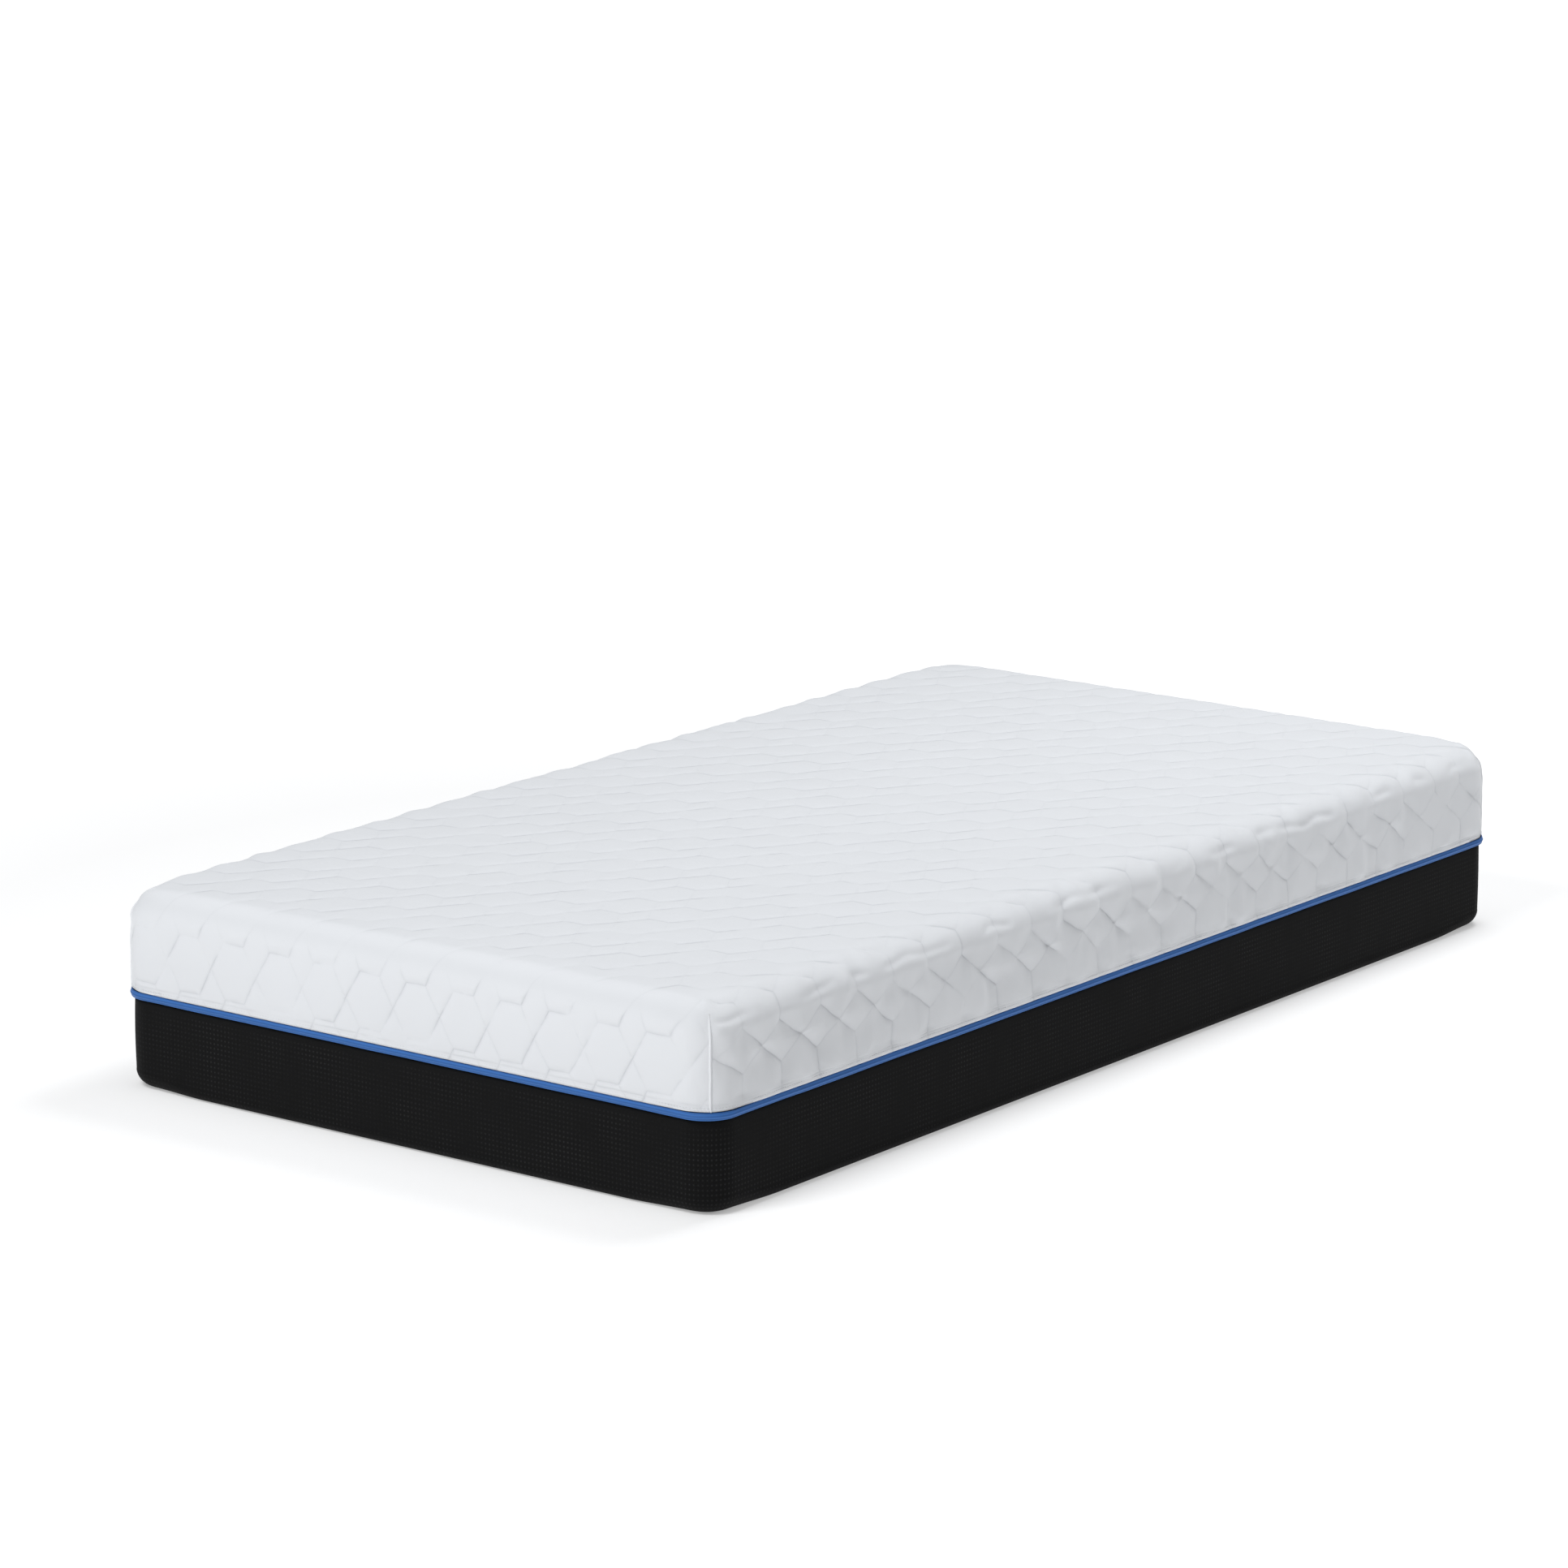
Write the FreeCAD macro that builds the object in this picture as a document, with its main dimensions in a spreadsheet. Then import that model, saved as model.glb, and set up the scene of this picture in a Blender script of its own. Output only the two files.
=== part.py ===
import FreeCAD, Part
import Sketcher
import math
import os

# Foam mattress in a two-part zipped cover, in millimetres.
# X runs across the bed, +Y points to the head end, +Z is up.
# The origin is on the underside, at the middle of the footprint.

DIMENSIONS = {
    # whole mattress, over the quilted cover
    "cover_width": 1000,
    "cover_length": 1850,
    "mattress_height": 270,
    "plan_corner_radius": 47,
    "top_edge_radius": 38,
    # layers of the quilted top cover, from the outside in
    "face_thickness": 1.5,
    "fill_thickness": 8.5,
    "backing_thickness": 0.7,
    "seam_width": 2.4,
    "seam_proud": 1,
    "seam_top": 255,
    # piping under the quilted cover
    "piping_height": 126.5,
    "piping_radius": 4.5,
    "piping_inset": 5.7,
    "filler_radius": 3,
    "flange_thickness": 1.1,
    "flange_rise": 12.5,
    "web_thickness": 1,
    # border fabric round the lower half
    "border_inset": 5,
    "border_thickness": 1.7,
    "border_top": 121.3,
    "border_bottom_radius": 20,
    "underside_inset": 38,
    "hem_bottom": 92,
    "hem_top": 103,
    "window_half_width": 446,
    "join_seam_position": -256,
    "join_seam_width": 8,
    "join_seam_thickness": 0.5,
    # underside
    "panel_thickness": 1.6,
    "binding_thickness": 1.2,
    "binding_outer_inset": 30,
    "binding_inner_inset": 44,
    # fire sock and foam core
    "sock_inset": 13,
    "sock_thickness": 1,
    "sock_bottom": 3.2,
    "sock_top_radius": 27,
    "sock_bottom_radius": 16,
    "sock_seam_half_length": 440,
    "sock_seam_height": 55,
    "sock_seam_size": 2,
    "base_foam_height": 140,
    "transition_foam_height": 50,
    # zip, measured from the outer face of its tape and from its centre line
    "zip_height": 113,
    "tape_inset": 10.8,
    "tape_thickness": 0.5,
    "coil_gap": 1.8,
    "coil_height": 2.5,
    "coil_thickness": 1.4,
    "slider_position": -400,
    "slider_length": 14,
    "slider_height": 12,
    "slider_plate": 1.2,
    "slider_back_plate": 1.1,
    "slider_post": 1.2,
    "slider_clearance": 0.3,
    "crown_length": 10,
    "crown_leg": 1.2,
    "crown_width": 2.8,
    "crown_rise": 3,
    "crown_thickness": 0.9,
    "pivot_rise": 1.1,
    "pull_length": 24,
    "pull_width": 8,
    "pull_thickness": 1.2,
    "pull_rail": 1.8,
    "pull_window_end": 6.2,
    "pull_bar_radius": 0.7,
    "pull_hole_radius": 2,
    "pull_hole_position": 19.5,
    # breaks in the coils, stops and hood, measured along the zip from the slider's parked centre
    "upper_break_start": -13,
    "upper_break_end": 9,
    "lower_break_start": -25,
    "lower_break_end": -8,
    "break_depth": 4,
    "upper_stop_start": -12.8,
    "lower_stop_start": -11.3,
    "stop_length": 3.2,
    "stop_height": 3.3,
    "stop_thickness": 1.8,
    "garage_end": -9,
    "garage_length": 32,
    "garage_thickness": 1.2,
    "garage_face": 2.6,
    "garage_bottom": 104,
    "garage_top": 122,
    # sewn-in blank label
    "label_position": 250,
    "label_width": 60,
    "label_height": 70,
    "label_top": 100,
    "label_thickness": 0.4,
    "label_gap": 0.8,
    # room left between neighbouring layers
    "clearance": 0.3,
}

COVER_INSIDE = "dims.face_thickness + dims.fill_thickness + dims.backing_thickness"
PIPING_TOP = "dims.piping_height + dims.piping_radius"
COVER_HEM = PIPING_TOP + " + 0.2"
BORDER_INSIDE = "dims.border_inset + dims.border_thickness"
TAPE_BACK = "dims.tape_inset + dims.tape_thickness"
COIL_FRONT = "dims.tape_inset - dims.coil_thickness"
SOCK_TOP = "dims.mattress_height - (" + COVER_INSIDE + ") - dims.clearance"
CORE_INSET = "dims.sock_inset + dims.sock_thickness"
CORE_BOTTOM = "dims.sock_bottom + dims.sock_thickness"
CORE_TOP = SOCK_TOP + " - dims.sock_thickness"
TAPE_FACE = "dims.cover_length / 2 - dims.tape_inset"
COIL_BAND = "dims.coil_gap / 2 + dims.coil_height"

doc = FreeCAD.newDocument("mattress")
parts = []


def fill_sheet():
    """Puts each driving dimension in the spreadsheet as a plain number with an alias."""
    sheet = doc.addObject("Spreadsheet::Sheet", "dims")
    for row, (alias, value) in enumerate(DIMENSIONS.items(), start=1):
        sheet.set(f"A{row}", alias.replace("_", " "))
        sheet.set(f"B{row}", str(value))
        sheet.setAlias(f"B{row}", alias)
    doc.recompute()
    return sheet


dims = fill_sheet()


def bind(item, expressions):
    for target, expression in expressions.items():
        item.setExpression(target, expression)


def move(item, x, y, z):
    bind(item, {"Placement.Base.x": x, "Placement.Base.y": y, "Placement.Base.z": z})


def name_part(item, label):
    """Marks a finished object as one of the mattress's pieces."""
    item.Label = label
    parts.append(item)
    return item


def edges_at(shape, level):
    """Names of the edges that lie flat at a level."""
    found = []
    for count, edge in enumerate(shape.Edges, start=1):
        limits = edge.BoundBox
        if abs(limits.ZMin - level) < 1e-4 and abs(limits.ZMax - level) < 1e-4:
            found.append(f"Edge{count}")
    return found


def upright_edges(shape):
    return [
        f"Edge{count}"
        for count, edge in enumerate(shape.Edges, start=1)
        if edge.BoundBox.ZLength > 1e-3 and edge.BoundBox.XLength + edge.BoundBox.YLength < 1e-3
    ]


def fillet(body, base, edges, radius):
    rounded = body.newObject("PartDesign::Fillet", base.Name + "_round")
    rounded.Base = (base, edges)
    rounded.setExpression("Radius", radius)
    doc.recompute()
    return rounded


def block(name, inset, bottom, top, top_radius=None, bottom_radius=None):
    """A block with rounded corners, set in from the cover's outer faces by inset."""
    body = doc.addObject("PartDesign::Body", name)
    step = body.newObject("PartDesign::AdditiveBox", name + "_box")
    bind(step, {
        "Length": f"dims.cover_width - 2 * ({inset})",
        "Width": f"dims.cover_length - 2 * ({inset})",
        "Height": f"({top}) - ({bottom})",
    })
    move(step, f"{inset} - dims.cover_width / 2", f"{inset} - dims.cover_length / 2", bottom)
    doc.recompute()
    step = fillet(body, step, upright_edges(step.Shape), f"dims.plan_corner_radius - ({inset})")
    if top_radius:
        step = fillet(body, step, edges_at(step.Shape, step.Shape.BoundBox.ZMax), top_radius)
    if bottom_radius:
        step = fillet(body, step, edges_at(step.Shape, step.Shape.BoundBox.ZMin), bottom_radius)
    return body


def box(name, length, width, height, x, y, z):
    """A plain box whose corner nearest -X, -Y, -Z is at x, y, z."""
    made = doc.addObject("Part::Box", name)
    bind(made, {"Length": length, "Width": width, "Height": height})
    move(made, x, y, z)
    return made


def cut(name, base, tool):
    made = doc.addObject("Part::Cut", name)
    made.Base = base
    made.Tool = tool
    return made


def fuse(name, shapes):
    made = doc.addObject("Part::MultiFuse", name)
    made.Shapes = shapes
    return made


def ring(name, outer_inset, inner_inset, bottom, top):
    """An upright band that follows the mattress's outline all the way round."""
    outer = block(name + "_outside", outer_inset, bottom, top)
    inner = block(name + "_inside", inner_inset, bottom, top)
    return cut(name, outer, inner)


def new_sketch(body, name, role, height="0"):
    """A sketch on one of the body's own origin planes, raised along its normal."""
    plane = [item for item in body.Origin.OriginFeatures if item.Role == role][0]
    sketch = body.newObject("Sketcher::SketchObject", name)
    sketch.AttachmentSupport = (plane, [""])
    sketch.MapMode = "FlatFace"
    sketch.setExpression("AttachmentOffset.Base.z", height)
    return sketch


def number(expression):
    return float(dims.evalExpression(expression))


def add_constraint(sketch, kind, places, expression):
    """Adds a dimension to a sketch and binds it to an expression."""
    index = sketch.addConstraint(Sketcher.Constraint(kind, *places, number(expression)))
    sketch.setExpression(f"Constraints[{index}]", expression)


def outline_sketch(body, name, inset, height):
    """The mattress's outline, set in by inset, as four lines joined by four arcs."""
    sketch = new_sketch(body, name, "XY_Plane", height)
    half_x = f"dims.cover_width / 2 - ({inset})"
    half_y = f"dims.cover_length / 2 - ({inset})"
    radius = f"dims.plan_corner_radius - ({inset})"
    a = number(half_x)
    b = number(half_y)
    r = number(radius)
    corners = [(a, -b), (a, b), (-a, b), (-a, -b)]
    ways = [(1, 0), (0, 1), (-1, 0), (0, -1)]
    for side in range(4):
        x0, y0 = corners[side - 1]
        x1, y1 = corners[side]
        dx, dy = ways[side]
        start = FreeCAD.Vector(x0 + dx * r, y0 + dy * r, 0)
        end = FreeCAD.Vector(x1 - dx * r, y1 - dy * r, 0)
        sketch.addGeometry(Part.LineSegment(start, end))
    for side in range(4):
        x, y = corners[side]
        centre = FreeCAD.Vector(x - r * (1 if x > 0 else -1), y - r * (1 if y > 0 else -1), 0)
        first = (side - 1) * math.pi / 2
        circle = Part.Circle(centre, FreeCAD.Vector(0, 0, 1), r)
        sketch.addGeometry(Part.ArcOfCircle(circle, first, first + math.pi / 2))
    for side in range(4):
        sketch.addConstraint(Sketcher.Constraint("Tangent", side, 2, side + 4, 1))
        sketch.addConstraint(Sketcher.Constraint("Tangent", side + 4, 2, (side + 1) % 4, 1))
    for side in range(0, 4, 2):
        sketch.addConstraint(Sketcher.Constraint("Horizontal", side))
        sketch.addConstraint(Sketcher.Constraint("Vertical", side + 1))
    for side in range(4, 7):
        sketch.addConstraint(Sketcher.Constraint("Equal", side, side + 1))
    add_constraint(sketch, "Radius", (4,), radius)
    add_constraint(sketch, "DistanceX", (-1, 1, 1, 1), half_x)
    add_constraint(sketch, "DistanceX", (3, 1, -1, 1), half_x)
    add_constraint(sketch, "DistanceY", (-1, 1, 2, 1), half_y)
    add_constraint(sketch, "DistanceY", (0, 1, -1, 1), half_y)
    return sketch


def polygon_sketch(sketch, points):
    """Closes a polygon through points given as pairs of expressions, each bound to the sheet."""
    first = sketch.GeometryCount
    places = [FreeCAD.Vector(number(x), number(y), 0) for x, y in points]
    for place, after in zip(places, places[1:] + places[:1]):
        sketch.addGeometry(Part.LineSegment(place, after))
    for index in range(len(points)):
        line = first + index
        following = first + (index + 1) % len(points)
        sketch.addConstraint(Sketcher.Constraint("Coincident", line, 2, following, 1))
    for index, (x, y) in enumerate(points):
        add_constraint(sketch, "DistanceX", (-1, 1, first + index, 1), x)
        add_constraint(sketch, "DistanceY", (-1, 1, first + index, 1), y)


def round_pipe(name, radius):
    """A round cord that runs along the piping line."""
    body = doc.addObject("PartDesign::Body", name)
    path = outline_sketch(body, name + "_path", "dims.piping_inset", "dims.piping_height")
    section = new_sketch(body, name + "_section", "XZ_Plane")
    centre_x = "dims.cover_width / 2 - dims.piping_inset"
    centre = FreeCAD.Vector(number(centre_x), number("dims.piping_height"), 0)
    section.addGeometry(Part.Circle(centre, FreeCAD.Vector(0, 0, 1), number(radius)))
    add_constraint(section, "Radius", (0,), radius)
    add_constraint(section, "DistanceX", (-1, 1, 0, 3), centre_x)
    add_constraint(section, "DistanceY", (-1, 1, 0, 3), "dims.piping_height")
    doc.recompute()
    pipe = body.newObject("PartDesign::AdditivePipe", name + "_pipe")
    pipe.Profile = section
    pipe.Spine = (path, [f"Edge{count + 1}" for count in range(8)])
    return body


def make_core():
    """Three foam slabs glued face to face. The top slab's upper edge is pressed round by the cover."""
    base_top = f"{CORE_BOTTOM} + dims.base_foam_height"
    transition_top = f"{base_top} + dims.transition_foam_height"
    top_radius = "dims.sock_top_radius - dims.sock_thickness"
    bottom_radius = "dims.sock_bottom_radius - dims.sock_thickness"
    base = block("core_base", CORE_INSET, CORE_BOTTOM, base_top, None, bottom_radius)
    transition = block("core_transition", CORE_INSET, base_top, transition_top)
    comfort = block("core_comfort", CORE_INSET, transition_top, CORE_TOP, top_radius)
    name_part(base, "support_foam_base")
    name_part(transition, "transition_foam_layer")
    name_part(comfort, "memory_foam_layer")


def make_fire_sock():
    """A closed knitted sock round the core, with the sewn ridge that closes its foot end."""
    inner_top_radius = "dims.sock_top_radius - dims.sock_thickness"
    inner_bottom_radius = "dims.sock_bottom_radius - dims.sock_thickness"
    outside = block(
        "sock_outside", "dims.sock_inset", "dims.sock_bottom", SOCK_TOP,
        "dims.sock_top_radius", "dims.sock_bottom_radius",
    )
    inside = block(
        "sock_inside", CORE_INSET, CORE_BOTTOM, CORE_TOP, inner_top_radius, inner_bottom_radius
    )
    name_part(cut("sock", outside, inside), "fire_sock")
    seam = box(
        "sock_seam", "2 * dims.sock_seam_half_length", "dims.sock_seam_size", "dims.sock_seam_size",
        "-dims.sock_seam_half_length",
        "dims.sock_inset - dims.cover_length / 2 - dims.sock_seam_size",
        "dims.sock_seam_height",
    )
    name_part(seam, "fire_sock_closing_seam")


def make_top_cover():
    """The quilted cover's three layers, nested one inside the next, each open underneath."""
    layers = [
        ("cover_face_fabric", "0"),
        ("cover_quilt_fill", "dims.face_thickness"),
        ("cover_backing", "dims.face_thickness + dims.fill_thickness"),
        (None, COVER_INSIDE),
    ]
    domes = [
        block(
            f"dome_{count}", inset, COVER_HEM, f"dims.mattress_height - ({inset})",
            f"dims.top_edge_radius - ({inset})",
        )
        for count, (label, inset) in enumerate(layers)
    ]
    for count, (label, inset) in enumerate(layers[:-1]):
        name_part(cut(f"layer_{count}", domes[count], domes[count + 1]), label)
    return domes[0]


def make_corner_seams(cover_outside):
    """A raised seam down each corner of the quilted cover."""
    around = block(
        "seam_outside", "-dims.seam_proud", COVER_HEM, "dims.mattress_height + dims.seam_proud",
        "dims.top_edge_radius + dims.seam_proud",
    )
    skin = cut("seam_skin", around, cover_outside)
    corners = [
        ("corner_seam_foot_right", 1, -1, -45),
        ("corner_seam_head_right", 1, 1, 45),
        ("corner_seam_head_left", -1, 1, 135),
        ("corner_seam_foot_left", -1, -1, 225),
    ]
    for label, side_x, side_y, angle in corners:
        plate = doc.addObject("Part::Box", label + "_plate")
        bind(plate, {
            "Length": "dims.plan_corner_radius + 5 * dims.seam_proud",
            "Width": "dims.seam_width",
            "Height": f"dims.seam_top - ({COVER_HEM})",
        })
        upright = FreeCAD.Vector(0, 0, 1)
        plate.Placement = FreeCAD.Placement(FreeCAD.Vector(), FreeCAD.Rotation(upright, angle))
        half = "dims.seam_width / 2"
        move(
            plate,
            f"{side_x} * (dims.cover_width / 2 - dims.plan_corner_radius) + sin({angle} deg) * {half}",
            f"{side_y} * (dims.cover_length / 2 - dims.plan_corner_radius) - cos({angle} deg) * {half}",
            COVER_HEM,
        )
        seam = doc.addObject("Part::Common", label + "_rib")
        seam.Base = skin
        seam.Tool = plate
        name_part(seam, label)


def make_piping():
    """A fabric tube with a sewing flange, round a soft filler cord."""
    tube = round_pipe("piping_tube", "dims.piping_radius")
    bore = round_pipe("piping_bore", "dims.filler_radius + 0.1")
    web_bottom = "dims.piping_height - dims.web_thickness / 2"
    web_top = "dims.piping_height + dims.web_thickness / 2"
    cover_inside = COVER_INSIDE + " + 0.1"
    flange_back = f"{cover_inside} + dims.flange_thickness"
    web = ring("piping_web", "dims.piping_inset + dims.filler_radius + 0.6", flange_back,
               web_bottom, web_top)
    flange = ring("piping_flange", cover_inside, flange_back, web_bottom,
                  "dims.piping_height + dims.flange_rise")
    sewn = fuse("piping_sewn", [tube, web, flange])
    name_part(cut("piping", sewn, bore), "piping_fabric")
    name_part(round_pipe("piping_filler", "dims.filler_radius"), "piping_filler_cord")


def make_border():
    """Border fabric in one piece: flap, folded hem, wall, rolled lower edge and turned-under lip.
    The flap hides the zip on three sides and is cut away at the head end."""
    fold = "dims.tape_inset"
    lower_radius = "dims.border_bottom_radius - dims.border_thickness"
    outside = block(
        "border_outside", "dims.border_inset", "0", "dims.border_top", None,
        "dims.border_bottom_radius",
    )
    hollows = [
        block("border_hollow", BORDER_INSIDE, "dims.border_thickness", "dims.hem_bottom",
              None, lower_radius),
        block("border_throat", fold, "dims.hem_bottom - 1", "dims.hem_top + 1"),
        block("border_flap_room", BORDER_INSIDE, "dims.hem_top", "dims.border_top + 1"),
        block("border_underside", "dims.underside_inset", "-1", "dims.border_thickness + 1"),
        box("border_window", "2 * dims.window_half_width", "20", "dims.border_top",
            "-dims.window_half_width", f"{TAPE_FACE} - 1", "dims.hem_top"),
    ]
    name_part(cut("border", outside, fuse("border_hollows", hollows)), "border_panel")
    seam = box(
        "border_join", "dims.join_seam_width", "dims.join_seam_thickness",
        "dims.hem_top - dims.border_bottom_radius - 3",
        "dims.join_seam_position - dims.join_seam_width / 2",
        "dims.cover_length / 2 - dims.border_inset",
        "dims.border_bottom_radius + 2",
    )
    name_part(seam, "border_join_seam")


def make_underside():
    """Non-slip bottom panel and the binding sewn over its edge on the inside."""
    panel = block("bottom_cloth", "dims.underside_inset + dims.clearance", "0", "dims.panel_thickness")
    name_part(panel, "bottom_panel")
    binding = ring(
        "bottom_binding", "dims.binding_outer_inset", "dims.binding_inner_inset",
        "dims.border_thickness", "dims.border_thickness + dims.binding_thickness",
    )
    name_part(binding, "bottom_seam_binding")


def make_zip_tapes():
    """Upper tape below the piping's flange, lower tape behind the border's hem."""
    upper = ring("upper_tape", "dims.tape_inset", TAPE_BACK, "dims.zip_height + dims.coil_gap / 2",
                 "dims.piping_height - dims.web_thickness / 2")
    lower = ring("lower_tape", "dims.tape_inset", TAPE_BACK, "dims.hem_bottom",
                 "dims.zip_height - dims.coil_gap / 2")
    name_part(upper, "zip_tape_upper")
    name_part(lower, "zip_tape_lower")


def make_zip_coils():
    """One coil along the edge of each tape, broken at the head end where the zip starts and stops."""
    spans = [
        ("upper", "dims.zip_height + dims.coil_gap / 2", f"dims.zip_height + {COIL_BAND}"),
        ("lower", f"dims.zip_height - ({COIL_BAND})", "dims.zip_height - dims.coil_gap / 2"),
    ]
    for side, bottom, top in spans:
        strip = ring(side + "_strip", COIL_FRONT, "dims.tape_inset", bottom, top)
        gap = box(
            side + "_break", f"dims.{side}_break_end - dims.{side}_break_start",
            "2 * dims.break_depth", "2 * dims.slider_height",
            f"dims.slider_position + dims.{side}_break_start",
            f"{TAPE_FACE} - dims.break_depth", "dims.zip_height - dims.slider_height",
        )
        name_part(cut(side + "_coil", strip, gap), "zip_coil_" + side)


def make_zip_stops():
    """A small clip at the end of each coil."""
    above = "dims.zip_height + dims.coil_gap / 2"
    below = "dims.zip_height - dims.coil_gap / 2 - dims.stop_height"
    for side, bottom in (("upper", above), ("lower", below)):
        stop = box(side + "_stop", "dims.stop_length", "dims.stop_thickness", "dims.stop_height",
                   f"dims.slider_position + dims.{side}_stop_start", TAPE_FACE, bottom)
        name_part(stop, "zip_stop_" + side)


def make_zip_garage():
    """A fabric hood under the piping that hides the ends of the zip."""
    hood = box(
        "zip_hood", "dims.garage_length", "dims.garage_thickness",
        "dims.garage_top - dims.garage_bottom",
        "dims.slider_position + dims.garage_end - dims.garage_length",
        f"{TAPE_FACE} + dims.garage_face",
        "dims.garage_bottom",
    )
    name_part(hood, "zip_garage")


def make_zip_slider():
    """Slider with two plates, a post between the coils and a crown that holds the pull.
    Its own frame has X along the zip, Y out of the tape's face and Z across the zip."""
    body = doc.addObject("PartDesign::Body", "slider")
    face = "dims.coil_thickness + dims.slider_clearance + dims.slider_plate"
    back = "-dims.tape_thickness - dims.slider_clearance - dims.slider_back_plate"
    outline = new_sketch(body, "slider_outline", "XY_Plane", "-dims.slider_height / 2")
    half = "dims.slider_length / 2"
    polygon_sketch(outline, [(f"-{half}", back), (half, back), (half, face), (f"-{half}", face)])
    doc.recompute()
    blank = body.newObject("PartDesign::Pad", "slider_blank")
    blank.Profile = outline
    blank.setExpression("Length", "dims.slider_height")
    doc.recompute()
    rounded = fillet(body, blank, shoulder_edges(blank.Shape), "dims.slider_height / 5")
    channel = new_sketch(body, "slider_channel", "YZ_Plane", "-dims.slider_length")
    for side in ("", "-"):
        inner = f"{side}dims.slider_post / 2"
        coil = f"{side}({COIL_BAND} + dims.slider_clearance)"
        outer = f"{side}dims.slider_height"
        tape_back = "-dims.tape_thickness - dims.slider_clearance"
        coil_face = "dims.coil_thickness + dims.slider_clearance"
        polygon_sketch(channel, [
            (tape_back, inner), (coil_face, inner), (coil_face, coil),
            ("dims.slider_clearance", coil), ("dims.slider_clearance", outer), (tape_back, outer),
        ])
    doc.recompute()
    before = rounded.Shape.Volume
    pocket = body.newObject("PartDesign::Pocket", "slider_pocket")
    pocket.Profile = channel
    pocket.Reversed = True
    pocket.setExpression("Length", "2 * dims.slider_length")
    doc.recompute()
    if pocket.Shape.Volume > 0.9 * before:
        raise RuntimeError("the slider's channel points away from the slider")
    crown = new_sketch(body, "slider_crown", "XY_Plane", "-dims.crown_width / 2")
    reach = "dims.crown_length / 2"
    leg = "(dims.crown_length / 2 - dims.crown_leg)"
    top = f"{face} + dims.crown_rise"
    under = f"{top} - dims.crown_thickness"
    polygon_sketch(crown, [
        (f"-{reach}", face), (f"-{leg}", face), (f"-{leg}", under), (leg, under),
        (leg, face), (reach, face), (reach, top), (f"-{reach}", top),
    ])
    doc.recompute()
    arch = body.newObject("PartDesign::Pad", "slider_arch")
    arch.Profile = crown
    arch.setExpression("Length", "dims.crown_width")
    move(body, "dims.slider_position", TAPE_FACE, "dims.zip_height")
    name_part(body, "zip_slider_body")


def shoulder_edges(shape):
    """The four short edges of the slider's blank that run from its back to its front."""
    return [
        f"Edge{count}"
        for count, edge in enumerate(shape.Edges, start=1)
        if edge.BoundBox.YLength > 1 and edge.BoundBox.XLength + edge.BoundBox.ZLength < 1e-3
    ]


def make_pull_tab():
    """Pull tab with a cross bar under the crown, a window round it and a finger hole."""
    lift = "dims.coil_thickness + dims.slider_clearance + dims.slider_plate + dims.pivot_rise"
    front = f"{TAPE_FACE} + {lift} - dims.pull_thickness / 2"
    low = "dims.zip_height - dims.pull_width / 2"
    plate = box("pull_plate", "dims.pull_length", "dims.pull_thickness", "dims.pull_width",
                "dims.slider_position", front, low)
    window = box(
        "pull_window", "dims.pull_window_end", "3 * dims.pull_thickness",
        "dims.pull_width - 2 * dims.pull_rail", "dims.slider_position",
        f"{front} - dims.pull_thickness", f"{low} + dims.pull_rail",
    )
    hole = doc.addObject("Part::Cylinder", "pull_hole")
    bind(hole, {"Radius": "dims.pull_hole_radius", "Height": "3 * dims.pull_thickness"})
    sideways = FreeCAD.Rotation(FreeCAD.Vector(1, 0, 0), -90)
    hole.Placement = FreeCAD.Placement(FreeCAD.Vector(), sideways)
    move(hole, "dims.slider_position + dims.pull_hole_position",
         f"{front} - dims.pull_thickness", "dims.zip_height")
    bar = doc.addObject("Part::Cylinder", "pull_bar")
    bind(bar, {"Radius": "dims.pull_bar_radius", "Height": "dims.pull_width"})
    move(bar, "dims.slider_position", f"{TAPE_FACE} + {lift}", low)
    opened = cut("pull_opened", plate, fuse("pull_openings", [window, hole]))
    name_part(fuse("pull", [opened, bar]), "zip_pull_tab")


def make_label():
    """Blank label, sewn along its upper edge and hanging in front of the border."""
    label = box(
        "label_cloth", "dims.label_width", "dims.label_thickness", "dims.label_height",
        "dims.label_position", "dims.cover_length / 2 - dims.border_inset + dims.label_gap",
        "dims.label_top - dims.label_height",
    )
    name_part(label, "law_label")


def check_document():
    """Stops before anything is written if an object failed or a piece has no sound shape."""
    doc.recompute()
    for item in doc.Objects:
        if "Invalid" in item.State or "Error" in item.State:
            raise RuntimeError(f"{item.Name} failed: {item.State}")
    for item in parts:
        if item.Shape.isNull() or not item.Shape.isValid() or not item.Shape.Solids:
            raise RuntimeError(f"{item.Label} has no sound shape")


def write_parts():
    os.makedirs("parts", exist_ok=True)
    for item in parts:
        item.Shape.exportStep(f"parts/{item.Label}.step")
        size = item.Shape.BoundBox
        print(
            f"{item.Label}: {len(item.Shape.Solids)} solid, {item.Shape.Volume / 1000:.2f} cm3, "
            f"x {size.XMin:.1f} {size.XMax:.1f}, y {size.YMin:.1f} {size.YMax:.1f}, "
            f"z {size.ZMin:.1f} {size.ZMax:.1f}"
        )


make_core()
make_fire_sock()
cover_outside = make_top_cover()
make_corner_seams(cover_outside)
make_piping()
make_border()
make_underside()
make_zip_tapes()
make_zip_coils()
make_zip_stops()
make_zip_garage()
make_zip_slider()
make_pull_tab()
make_label()
check_document()
write_parts()
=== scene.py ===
"""Soft covers, threads and finishes of a foam mattress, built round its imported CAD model."""

import math

import bpy
import numpy as np
from bpy.props import FloatProperty, FloatVectorProperty, PointerProperty
from mathutils import Matrix, Vector


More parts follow.
